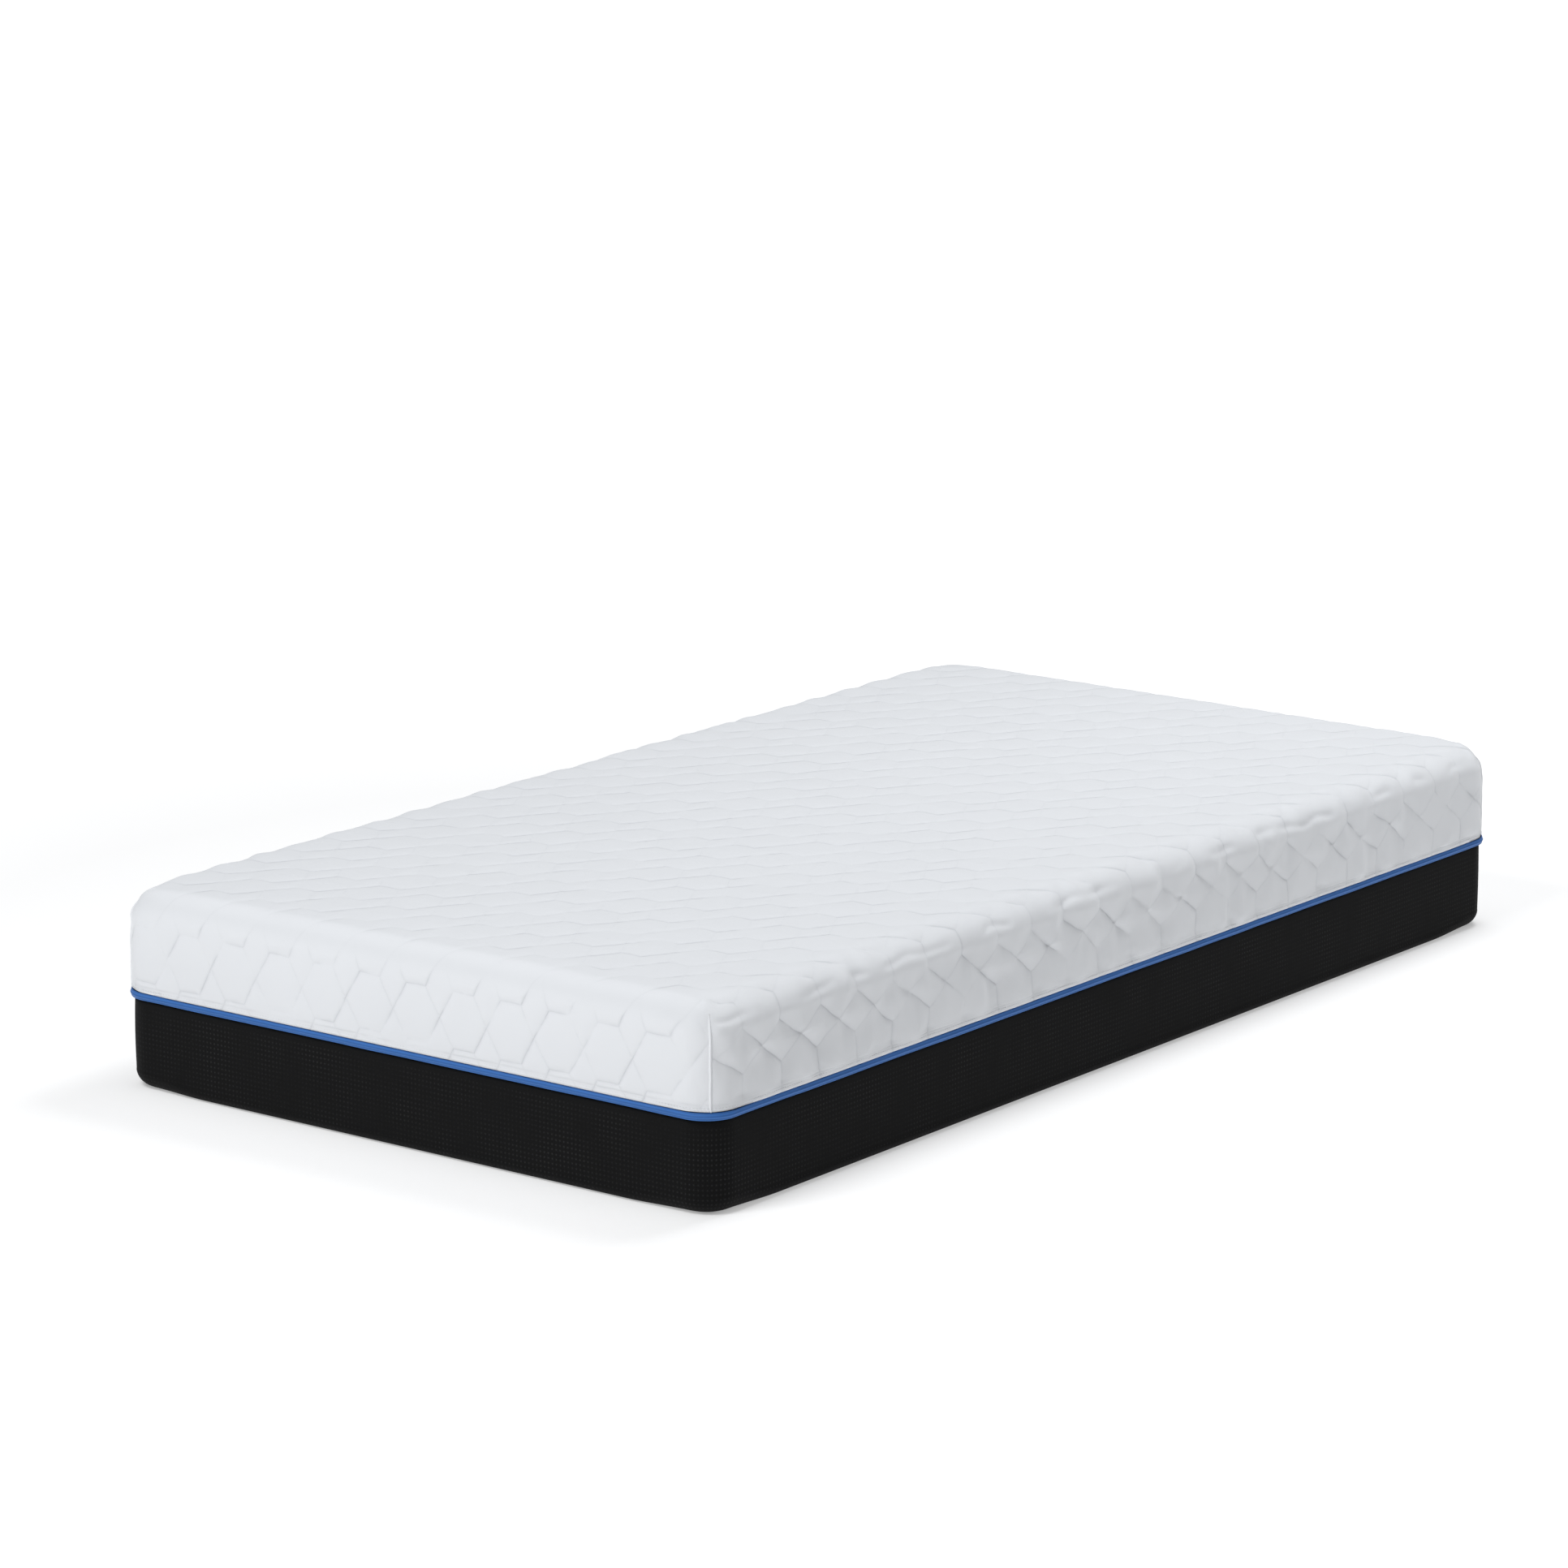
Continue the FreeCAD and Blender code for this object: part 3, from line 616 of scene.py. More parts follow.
class MattressStage(bpy.types.PropertyGroup):
    """Camera, lamps and floor."""

    lens: FloatProperty(name="Lens", description="Focal length on a 36 mm sensor", default=135.4754,
                        min=20, max=300, unit="CAMERA")
    turn: FloatProperty(name="Turn", description="Camera's angle from the foot end towards the right side",
                        default=math.radians(37.4004), subtype="ANGLE")
    tilt: FloatProperty(name="Tilt", description="Camera's angle above the floor",
                        default=math.radians(13.1391), subtype="ANGLE")
    stand: FloatVectorProperty(name="Stand", description="Camera's place", size=3, subtype="XYZ",
                               unit="LENGTH", default=(4.75087, -6.34303, 2.15741))
    sky: FloatProperty(name="Fill light", description="Strength of the even light from all round",
                       default=0.20, min=0, max=5)
    floor_glow: FloatProperty(name="Floor glow", description="Light the floor gives off near the mattress",
                              default=0.50, min=0, max=2)


GROUPS = {
    "mattress_quilt": MattressQuilt,
    "mattress_cloth": MattressCloth,
    "mattress_colours": MattressColours,
    "mattress_stage": MattressStage,
}


# ---------------------------------------------------------------- quilted cover


class Quilt:
    """The quilting as a height over the cloth.

    Cloth coordinates are X and Y on the top, and go on down the sides by arc length."""

    def __init__(self, settings):
        self.set = settings
        self.flat_x, self.flat_y = HALF_X - ROLL, HALF_Y - ROLL

    def pattern(self, cloth_x, cloth_y):
        """Where the cloth is in the pattern. It is pulled tighter over the rolled edges."""
        s = self.set
        turn_x = s.start_across + SIDE_EDGE_LINE * s.pitch_across
        turn_y = END_EDGE_LINE * s.pitch_along - s.start_along
        side, end = np.abs(cloth_x), np.abs(cloth_y)
        side = np.where(side > turn_x, turn_x + (side - turn_x) * SIDE_PULL, side)
        past = end - turn_y
        pulled = np.minimum(past, END_PULLED) * END_PULL + np.maximum(past - END_PULLED, 0) * END_HANG
        end = np.where(past > 0, turn_y + pulled, end)
        loose = 1 + smooth(self.flat_x, self.flat_x + 60 * MM, np.abs(cloth_x)) * 0.8

        def stray(wide, seed_wide, narrow, seed_narrow):
            bend = 1.8 * MM * ripple(cloth_x, cloth_y, wide, seed_wide)
            return loose * (bend + 0.8 * MM * ripple(cloth_x, cloth_y, narrow, seed_narrow))

        u = np.sign(cloth_x) * side - s.start_across + stray(62 * MM, 3, 21 * MM, 4)
        v = np.sign(cloth_y) * end - s.start_along + stray(58 * MM, 5, 23 * MM, 6)
        return u, v

    def lines(self, u, v):
        return quilt_lines(u, v, self.set, np.maximum)

    def hollows(self, u, v, side, dash):
        """Wide soft hollows along the lines, averaged over nearby places so that the puffs stay round."""
        reach = (13 + 4 * side) * MM
        blunt = 1.25 + 0.6 * side
        shift = (3 + 2.5 * side) * MM
        total = 0
        for step_u, step_v in ((0, 0), (1, 0.4), (-1, -0.4), (-0.4, 1), (0.4, -1)):
            to_dash, to_slant, rising = self.lines(u + step_u * shift, v + step_v * shift)
            slant = np.where(rising, 1.0, 0.6) * np.exp(-((to_slant / reach) ** blunt))
            total = total + 1 - (1 - slant) * (1 - dash * np.exp(-((to_dash / reach) ** blunt)))
        return total / 5

    def relief(self, u, v, cloth_x, cloth_y, top, end, side):
        """Height of the quilt in metres. top, end and side say how much each kind of face counts."""
        s = self.set
        to_dash, to_slant, rising = self.lines(u, v)
        patchy = 0.75 + 0.45 * ripple(u, v, 46 * MM, 11)
        slant = np.where(rising, 1.0, s.falling)
        dash = 0.3 * top + 0.9 * (1 - top)
        slant = slant - 0.25 * side * ~rising
        at_slant, at_dash = (np.exp(-((away / (3.6 * MM)) ** 1.4)) for away in (to_slant, to_dash))
        narrow = np.maximum(slant * at_slant, dash * at_dash)
        wide = self.hollows(u, v, side, np.maximum(dash, 0.6))
        depth = s.top_relief * top + s.end_relief * end + s.side_relief * side
        sharp = (0.42 * top + 0.42 * end + 0.26 * side) * depth
        billow = 0.5 * MM * ripple(cloth_x, cloth_y, 170 * MM, 21)
        billow = billow + (0.3 + 0.5 * side) * MM * ripple(cloth_x, cloth_y, 48 * MM, 22)
        billow = billow + (0.15 + 2 * side) * MM * ripple(u, v * 1.3, 27 * MM, 23)
        uneven = 1 - side * (0.25 - 0.35 * ripple(u, v, 60 * MM, 24))
        return billow - sharp * narrow * patchy - (depth - sharp) * wide * uneven


def middle_grid(outline, inner_x, inner_y):
    """A flat grid with as many edge points as the outline has stations: its points, faces and edge."""
    columns, rows = outline.counts[1] + 1, outline.counts[0] + 1
    xs, ys = np.meshgrid(np.linspace(-inner_x, inner_x, columns), np.linspace(-inner_y, inner_y, rows))
    index = np.arange(rows * columns).reshape(rows, columns)
    edge = np.concatenate([index[:-1, -1], index[-1, :0:-1], index[:0:-1, 0], index[0, :-1]])
    return np.stack([xs.ravel(), ys.ravel()], 1), grid_quads(columns, rows), edge


def edge_strip(edge, start):
    """Faces between a grid's edge and the ring of points from start that goes round it."""
    ring = start + np.arange(len(edge))
    return np.stack([edge, ring, np.roll(ring, -1), np.roll(edge, -1)], 1)


class Shell:
    """A rounded block's flat top and rolled edge: a grid of points in the middle, then rings round it.

    Each ring is a plan, a height and how far it has tipped over, 0 on the flat and a quarter turn upright."""

    def __init__(self, outline, inset, radius, top, flat_shares, roll_steps):
        self.outline, self.inset, self.radius, self.top = outline, inset, radius, top
        inner = outline.half_x - GRID_INSET, outline.half_y - GRID_INSET
        self.middle, self.quads, self.edge = middle_grid(outline, *inner)
        rim, roll_start = outline.rectangle(*inner), outline.at(inset + radius)
        self.rings = [(rim * (1 - t) + roll_start * t, top, 0.0) for t in flat_shares]
        for i in range(1, roll_steps + 1):
            a = math.pi / 2 * i / roll_steps
            plan = outline.at(inset + radius * (1 - math.sin(a)))
            self.rings.append((plan, top - radius * (1 - math.cos(a)), a))

    def drop(self, low, steps):
        """Goes straight down from the rolled edge to the height low."""
        start = self.top - self.radius
        for i in range(1, steps + 1):
            self.rings.append((self.outline.at(self.inset), start + (low - start) * i / steps, math.pi / 2))

    def places(self):
        """Points and outward directions, first of the grid and then of the rings."""
        base = [np.column_stack([self.middle, np.full(len(self.middle), self.top)])]
        out = [np.tile([0.0, 0.0, 1.0], (len(self.middle), 1))]
        for plan, z, tip in self.rings:
            upward = np.full(len(plan), math.cos(tip))
            base.append(np.column_stack([plan, np.full(len(plan), z)]))
            out.append(np.column_stack([self.outline.normal * math.sin(tip), upward]))
        return np.concatenate(base), np.concatenate(out)

    def faces(self, more_rings=0):
        """Faces of the grid, of the strip round it, and of the rings with any that follow them."""
        start = len(self.middle)
        walls = ring_quads(len(self.rings) + more_rings, self.outline.size)[:, ::-1] + start
        return np.concatenate([self.quads, edge_strip(self.edge, start), walls])


def two_skins(one, last_ring, size, shift):
    """Faces of an inner skin, of an outer one whose points come shift later, and of the edge between them."""
    station = last_ring + np.arange(size)
    after = last_ring + (np.arange(size) + 1) % size
    edge = np.stack([station, after, after + shift, station + shift], 1)
    return np.concatenate([one[:, ::-1], one + shift, edge])


def cloth_beyond(outline, quilt, arc, sides):
    """Cloth coordinates of a ring arc below the start of the roll, each station taken on its given side."""
    cloth = np.zeros((outline.size, 2))
    for side in range(4):
        on = sides == side
        sign = 1 if side < 2 else -1
        flat = quilt.flat_y if side % 2 else quilt.flat_x
        down = np.full(on.sum(), sign * (flat + arc))
        cloth[on, side % 2] = down
        cloth[on, 1 - side % 2] = outline.along(side)[on]
    return cloth


class Cover(Shell):
    """The cover's outer face, from the middle of the top out and down to the hem."""

    FLAT_RINGS, ROLL_RINGS, SIDE_RINGS = 18, 20, 34

    def __init__(self, settings):
        self.quilt = Quilt(settings)
        flat_shares = [i / self.FLAT_RINGS for i in range(1, self.FLAT_RINGS + 1)]
        outline = Outline(HALF_X, HALF_Y, CORNER, settings.step, 9)
        super().__init__(outline, 0.0, ROLL, TOP, flat_shares, self.ROLL_RINGS)
        self.drop(HEM_EDGE, self.SIDE_RINGS)

    def surface(self, sides):
        """Points, pattern coordinates and outward directions of the rings, each station on its given side."""
        base, out = (part[len(self.middle):] for part in super().places())
        cloth = []
        for plan, z, tip in self.rings:
            arc = ROLL * tip + max(0.0, TOP - ROLL - z)
            cloth.append(cloth_beyond(self.outline, self.quilt, arc, sides) if tip else plan)
        return *self.raised(base, out, np.concatenate(cloth), np.tile(sides, len(self.rings))), out

    def top_grid(self):
        """Points and pattern coordinates of the grid in the middle of the top, which faces no side."""
        base, out = (part[: len(self.middle)] for part in super().places())
        return self.raised(base, out, self.middle, np.full(len(base), -1))

    def raised(self, base, out, cloth, facing):
        """Points of the quilted surface, and their pattern coordinates."""
        u, v = self.quilt.pattern(cloth[:, 0], cloth[:, 1])
        height = cover_height(self.quilt, base, cloth, facing, u, v)
        return base + out * height[:, None], np.stack([u, v], 1)


def cover_height(quilt, base, cloth, facing, u, v):
    """How far each point of the cover stands out from its plain rounded block."""
    reach_x, reach_y, z = np.abs(base[:, 0]), np.abs(base[:, 1]), base[:, 2]
    on_side = np.where(facing % 2 == 0, smooth(HALF_X - 52 * MM, HALF_X - 12 * MM, reach_x), 0)
    on_end = np.where(facing % 2 == 1, smooth(HALF_Y - 46 * MM, HALF_Y - 14 * MM, reach_y), 0)
    on_top = 1 - on_side - on_end
    height = quilt.relief(u, v, cloth[:, 0], cloth[:, 1], on_top, on_end, on_side)
    height += 1.5 * MM * on_top + 1.1 * MM * on_end + 0.5 * MM * on_side

    # The cloth is stretched smooth over the rolled edge, and held down by the hem
    rolling = smooth(TOP + 0.5 * MM, TOP - 4 * MM, z) * smooth(TOP - 46 * MM, TOP - 30 * MM, z)
    height = height * (1 - rolling * (0.8 * on_end + 0.25 * on_side))
    height = height * (1 - 0.85 * (1 - on_top) * smooth(HEM_EDGE + 16 * MM, HEM_EDGE + 2 * MM, z))

    # Tucks run along the long sides under the rolled edge
    along = np.where(facing % 2 == 0, cloth[:, 1], cloth[:, 0])
    tuck_line = TOP - 21 * MM - 5 * MM * ripple(along, 0.0, 37 * MM, 31)
    tuck = on_side * hill(z, tuck_line, 5.5 * MM)
    height -= tuck * 2.6 * MM * smooth(-0.6, 0.7, ripple(along, 0.0, 31 * MM, 32))

    # Small puffs stand above the hem's stitches, which draw the cloth in
    puff = 0.5 + 0.5 * np.sin(along * TURN / (quilt.set.pitch_across / 2))
    height += (1 - on_top) * 0.8 * MM * puff * hill(z, HEM_EDGE + 13 * MM, 9 * MM)
    stitched = 0.8 * MM * hill(z, HEM_EDGE + 4.5 * MM, 1.8 * MM)
    height -= (1 - on_top) * (1.5 * MM * smooth(HEM_EDGE + 26 * MM, HEM_EDGE, z) + stitched)

    # The corners are drawn in, and flattened to a pinch along their seams
    near_corner = smooth(105 * MM, 22 * MM, np.hypot(HALF_X - reach_x, HALF_Y - reach_y))
    sink = near_corner * smooth(HEM_EDGE + 40 * MM, TOP - 25 * MM, z)
    lumps = 1.6 * MM * ripple(base[:, 0] + z, base[:, 1] - z, 24 * MM, 33)
    round_over = near_corner * hill(z, TOP - 13 * MM, 17 * MM)
    pulled_in = near_corner * 2.4 * MM + sink * (1.6 * MM + lumps) + round_over * 2.6 * MM
    gap = np.abs((HALF_X - reach_x) - (HALF_Y - reach_y)) / math.sqrt(2)
    pinch = (1 - smooth(1 * MM, 15 * MM, gap)) * smooth(TOP - 4 * MM, TOP - 22 * MM, z)
    return height * (1 - pinch) - pinch * 0.4 * MM - pulled_in


class MATTRESS_OT_quilted_cover(bpy.types.Operator):
    """Quilted upper cover: one cloth over the top and down all four sides, seamed at its corners"""

    bl_idname = "mattress.quilted_cover"
    bl_label = "Quilted cover"

    def execute(self, context):
        settings = context.scene.mattress_quilt
        cover = Cover(settings)
        outline, size, start = cover.outline, cover.outline.size, len(cover.middle)
        points, pattern, _ = cover.surface(outline.side)
        _, seam_pattern, _ = cover.surface(np.roll(outline.side, 1))
        grid, grid_pattern = cover.top_grid()
        inside = ((2.5 * MM, HEM_EDGE), (9.2 * MM, HEM_EDGE), (9.2 * MM, TOP - ROLL),
                  (13 * MM, TOP - 20 * MM), (22 * MM, TOP - 11.5 * MM), (ROLL, TOP - 9.4 * MM))
        points = np.concatenate([grid, points, *profile_rings(outline, inside)])
        cap = np.arange(len(points) - size, len(points))[::-1]
        quads = cover.faces(len(inside))
        finish = quilt_white(context.scene.mattress_colours.white, settings)
        made = new_object("quilted_cover", points, quads, [finish], cap=cap)
        known = np.zeros((len(points), 2))
        known[: start + len(pattern)] = np.concatenate([grid_pattern, pattern])
        places = known[quads]
        # A face that starts on one side ends on it too, so the pattern breaks at the corner seams
        station = np.arange(size)
        after = (station + 1) % size
        low = np.arange(len(cover.rings) - 1)[:, None] * size
        block = np.stack([pattern[low + size + station], seam_pattern[low + size + after],
                          seam_pattern[low + after], pattern[low + station]], 2)
        outer_start = len(cover.quads) + size
        places[outer_start: outer_start + block.shape[0] * size] = block.reshape(-1, 4, 2)
        lay_cloth(made, np.concatenate([places.reshape(-1, 2), known[cap]]))
        settle(made, "top_cover", "white_quilt", "cover_face_fabric", "cover_quilt_fill")
        return {"FINISHED"}


def lay_cloth(made, places):
    """Stores a place along the cloth, in metres, for every face corner."""
    layer = made.data.uv_layers.new(name="cloth")
    layer.data.foreach_set("uv", np.asarray(places, np.float32).ravel())


class MATTRESS_OT_corner_seams(bpy.types.Operator):
    """Turned seams that stand up along the cover's four corners"""

    bl_idname = "mattress.corner_seams"
    bl_label = "Corner seams"

    def execute(self, context):
        cover = Cover(context.scene.mattress_quilt)
        outline = cover.outline
        points, _, out = cover.surface(outline.side)
        points, out = points.reshape(-1, outline.size, 3), out.reshape(-1, outline.size, 3)
        finish = thread_cloth("corner_seam_cloth", context.scene.mattress_colours.white)
        first_ring = Cover.FLAT_RINGS + 9
        stations = np.cumsum([0] + outline.counts[:3])
        for corner, station in zip(("foot_right", "head_right", "head_left", "foot_left"), stations):
            spine, rise = points[first_ring:, station], out[first_ring:, station]
            made = self.ridge("seam_ridge_" + corner, spine, rise, outline.normal[station], finish)
            settle(made, "top_cover", "white_seam", "corner_seam_" + corner)
        return {"FINISHED"}

    def ridge(self, name, spine, rise, facing, finish):
        """A narrow fold of cloth along a spine, highest in the middle and dying out at its upper end."""
        across = np.array([-facing[1], facing[0], 0.0])
        # Each (across, up) in mm at the ridge's full height
        profile = [(-2.6, -0.5), (-1.5, 0.35), (-1.05, 1.15), (-0.5, 1.65), (0.1, 1.75), (0.65, 1.5),
                   (1.1, 0.95), (1.6, 0.2), (2.6, -0.5), (1.2, -1.0), (-1.2, -1.0)]
        count = len(spine)
        t = np.arange(count) / (count - 1)
        swell = smooth(0, 0.18, t) * (1 + 0.12 * ripple(spine[:, 2], 0.0, 7 * MM, 41))
        sway = 0.35 * MM * ripple(spine[:, 2], 0.0, 16 * MM, 42)
        lines = []
        for side, up in profile:
            sideways = sway + side * MM * (0.35 + 0.65 * swell)
            lines.append(spine + across * sideways[:, None] + rise * (up * MM * swell)[:, None])
        points = np.stack(lines, 1).reshape(-1, 3)
        size = len(profile)
        quads = ring_quads(count, size)
        ends = [list(range(size))[::-1], list(range((count - 1) * size, count * size))]
        return new_object(name, points, quads, [finish], more=ends)


class MATTRESS_OT_hem_stitches(bpy.types.Operator):
    """Row of stitches round the quilted cover, just above the piping"""

    bl_idname = "mattress.hem_stitches"
    bl_label = "Hem stitches"

    def execute(self, context):
        white = context.scene.mattress_colours.white
        outline = Outline(HALF_X, HALF_Y, CORNER, 8 * MM, 6)
        made = outline_stitches("hem_stitches", outline, 2.2 * MM, HEM_EDGE + 4.5 * MM,
                                context.scene.mattress_cloth.stitch, 4.6 * MM, 0.32 * MM, 0.5 * MM,
                                thread_finish("hem_thread", shade(white, 0.93)))
        settle(made, "top_cover", "white_seam")
        return {"FINISHED"}


class MATTRESS_OT_cover_lining(bpy.types.Operator):
    """Non-woven lining inside the quilted cover, drawn in along the quilting"""

    bl_idname = "mattress.cover_lining"
    bl_label = "Cover lining"

    def execute(self, context):
        quilt = Quilt(context.scene.mattress_quilt)
        gap = 10.65 * MM
        shares = (0.14, 0.28, 0.42, 0.56, 0.7, 0.85, 1)
        shell = Shell(Outline(HALF_X, HALF_Y, CORNER, 9 * MM, 4), gap, ROLL - gap, TOP - gap, shares, 6)
        shell.drop(HEM + 0.3 * MM, 12)
        base, out = shell.places()
        u, v = quilt.pattern(base[:, 0], base[:, 1] + np.sign(base[:, 1]) * (TOP - gap - base[:, 2]))
        to_dash, to_slant, _ = quilt.lines(u, v)
        drawn = 0.75 * MM * np.exp(-np.minimum(to_dash, to_slant) / (9 * MM))
        face = base + out * drawn[:, None]
        back = face + out * (0.4 * MM)
        size = shell.outline.size
        faces = two_skins(shell.faces(), len(face) - size, size, len(face))
        colour = context.scene.mattress_colours.backing
        finish = knit_cloth("lining_cloth", colour, 2.2 * MM, 0.05 * MM, 0.05, 0.9, 0.04)
        made = new_object("cover_lining", np.concatenate([face, back]), faces, [finish])
        settle(made, "top_cover", "backing_cloth", "cover_backing")
        return {"FINISHED"}


# ---------------------------------------------------------------- piping and border


class MATTRESS_OT_piping(bpy.types.Operator):
    """Ribbed piping round the seam between the two halves, with its sewing flange"""

    bl_idname = "mattress.piping"
    bl_label = "Piping"

    def execute(self, context):
        settings = context.scene.mattress_cloth
        outline = Outline(HALF_X, HALF_Y, CORNER - 3.5 * MM, 5 * MM, 14)
        radius = 4.5 * MM
        centre_inset = HALF_X - PIPING_HIGH.x + radius
        centre_z = PIPING_LOW.z + radius
        plan = outline.at(centre_inset)
        wander = 0.35 * MM * ripple(plan[:, 0] * 2, plan[:, 1] * 2, 120 * MM, 51)
        profile = []
        for a in np.radians(np.linspace(-150, 150, 44)):
            ridge = settings.rib_height * (math.cos(a * 7.0) - 0.6) * max(0.0, math.cos(a / 2))
            reach = radius - 0.1 * MM + ridge
            rise = 1.3 * reach * math.sin(a) + settings.piping_rise
            profile.append((centre_inset - reach * math.cos(a), centre_z + rise + wander))
        # The web runs in from the tube, and the flange stands up from it
        web_low, web_high, flange_top = 126.0 * MM, 127.0 * MM, PIPING_HIGH.z
        web_start, flange_front, flange_back = 9.4 * MM, 10.8 * MM, 11.9 * MM
        profile += [(web_start, web_high), (flange_front, web_high), (flange_front, flange_top),
                    (flange_back, flange_top), (flange_back, web_low), (web_start, web_low)]
        made = band("piping_ribbed", outline, profile, piping_blue(context.scene.mattress_colours.blue))
        settle(made, "top_cover", "blue_piping", "piping_fabric")
        return {"FINISHED"}


def window_top(outline, inset):
    """Height of the border's top edge round the outline: cut down to the zip along the head end."""
    beyond = smooth(446 * MM, 454 * MM, np.abs(outline.at(inset)[:, 0]))
    return np.where(outline.side == 1, WINDOW_TOP + (BORDER_HIGH.z - WINDOW_TOP) * beyond, BORDER_HIGH.z)


def head_station(outline, inset, x):
    """The station on the head end that is nearest to x."""
    return int(np.argmin(np.where(outline.side == 1, np.abs(outline.at(inset)[:, 0] - x), np.inf)))


def lower_roll(outline):
    """Radius of the border's lower edge round the outline: tighter along the faces than at the corners."""
    plan = np.abs(outline.at(BORDER_INSET))
    to_corner = np.hypot(HALF_X - plan[:, 0], HALF_Y - plan[:, 1])
    return 14 * MM + 10 * MM * smooth(150 * MM, 40 * MM, to_corner)


def border_face(settings, outline):
    """Insets and heights of the border's outer face, from its top edge to the end of its lip."""
    top = window_top(outline, BORDER_INSET)
    plan = outline.at(BORDER_INSET)
    wave = ripple(plan[:, 0] + 0.3, plan[:, 1], 210 * MM, 61)
    fold = ripple(plan[:, 0], plan[:, 1] + 0.7, 60 * MM, 62)
    roll, straight = lower_roll(outline), 26
    rows = []
    for i in range(straight + 1):
        t = i / straight
        z = top + (roll - top) * t
        belly = settings.barrel * (1 - (2 * (z / BORDER_HIGH.z) - 1.02) ** 2) - 0.9 * MM
        loose = (0.5 * wave + 0.35 * fold) * MM * math.sin(math.pi * min(1, t * 1.1)) ** 0.7
        rows.append((BORDER_INSET - belly - loose, z))
    for i in range(1, 13):
        a = math.pi / 2 * i / 12
        under = (roll + 0.3 * MM * math.cos(a)) * (1 - math.cos(a))
        rows.append((BORDER_INSET + under, roll * (1 - math.sin(a))))
    bottom = BORDER_INSET + roll
    return rows + [(bottom + (LIP - bottom) * t, np.zeros(outline.size)) for t in (0.35, 0.7, 1.0)]


class MATTRESS_OT_border(bpy.types.Operator):
    """Black knitted border: flap over the zip, folded hem, wall, rolled lower edge and turned-under lip"""

    bl_idname = "mattress.border"
    bl_label = "Border"

    def execute(self, context):
        colours = context.scene.mattress_colours
        outline = Outline(HALF_X, HALF_Y, CORNER, 4 * MM, 10)
        rows = border_face(context.scene.mattress_cloth, outline)
        top = window_top(outline, BORDER_INSET)
        inner, fold, thick = 6.7 * MM, 10.75 * MM, 1.7 * MM
        roll = lower_roll(outline) - thick
        inside = [(LIP, thick)]
        for a in np.linspace(0, math.pi / 2, 5):
            inside.append((inner + roll * (1 - math.sin(a)), thick + roll * (1 - math.cos(a))))
        # Up the wall, round the folded hem that the zip is sewn to, and up behind the flap
        inside += [(inner, 92 * MM), (fold, 92.2 * MM), (fold, 102.8 * MM), (inner, 103 * MM),
                   (inner, top - 0.7 * MM), (inner - 0.6 * MM, top + 0.1 * MM)]
        rings = profile_rings(outline, rows + inside)
        size = outline.size
        faces = ring_quads(len(rings), size, closed=True)[:, ::-1]
        finish = border_black(colours.black, colours.dots)
        made = new_object("border_knit_panel", np.concatenate(rings), faces, [finish])
        travelled = [np.zeros(size)]
        for before, following in zip(rings, rings[1:]):
            travelled.append(travelled[-1] - np.linalg.norm(following - before, axis=1))
        travelled.append(travelled[0])
        plan = outline.at(0)
        steps = np.linalg.norm(np.roll(plan, -1, axis=0) - plan, axis=1)
        round_it = np.concatenate([[0], np.cumsum(steps)])
        near, far = round_it[:-1], round_it[1:]
        places = []
        for low, high in zip(travelled, travelled[1:]):
            corners = (near, high), (far, np.roll(high, -1)), (far, np.roll(low, -1)), (near, low)
            places.append(np.stack([np.stack(corner, 1) for corner in corners], 1))
        lay_cloth(made, np.concatenate(places).reshape(-1, 2))
        settle(made, "mattress_base", "black_border", "border_panel")
        return {"FINISHED"}


class MATTRESS_OT_border_join(bpy.types.Operator):
    """Lapped seam where the border's two ends meet, with two rows of stitches"""

    bl_idname = "mattress.border_join"
    bl_label = "Border join"

    def execute(self, context):
        low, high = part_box("border_join_seam")
        columns, rows = 9, 27
        heights = np.linspace(low.z, high.z, rows)
        outline = Outline(HALF_X, HALF_Y, CORNER, 4 * MM, 10)
        face = border_face(context.scene.mattress_cloth, outline)
        at = head_station(outline, 0.0, (low.x + high.x) / 2)
        known_z = np.array([np.broadcast_to(z, outline.size)[at] for _, z in face])
        known_y = np.array([HALF_Y - np.broadcast_to(inset, outline.size)[at] for inset, _ in face])
        wall = np.interp(heights, known_z[::-1], known_y[::-1])
        across = np.linspace(0, 1, columns)
        crown = 0.75 * MM * np.sin(math.pi * np.minimum(1, across * 1.12)).clip(0) ** 0.35
        points = []
        for stand_out in (np.full(columns, -0.35 * MM), crown):
            for z, y in zip(heights, wall):
                x = low.x + (high.x - low.x) * across
                points.append(np.column_stack([x, y + stand_out, np.full(columns, z)]))
        cloth = knit_cloth("join_cloth", context.scene.mattress_colours.black, 1.6 * MM, sheen=0.015)
        made = new_object("border_join_lap", np.concatenate(points), slab_faces(columns, rows), [cloth])
        settle(made, "mattress_base", "black_seam", "border_join_seam")
        starts, ends = [], []
        for x in (low.x + 1.8 * MM, high.x - 1.8 * MM):
            for z in np.arange(low.z + 1 * MM, high.z - 4 * MM, 4.2 * MM):
                for place, height in ((starts, z), (ends, z + 3 * MM)):
                    place.append((x, np.interp(height, heights, wall) + 0.7 * MM, height))
        outward = np.tile([0.0, 1.0, 0.0], (len(starts), 1))
        thread = thread_finish("black_thread", (0.03, 0.03, 0.03))
        sewn = stitches("border_join_stitches", starts, ends, outward, 0.3 * MM, 0.3 * MM, thread)
        settle(sewn, "mattress_base", "black_seam")
        return {"FINISHED"}


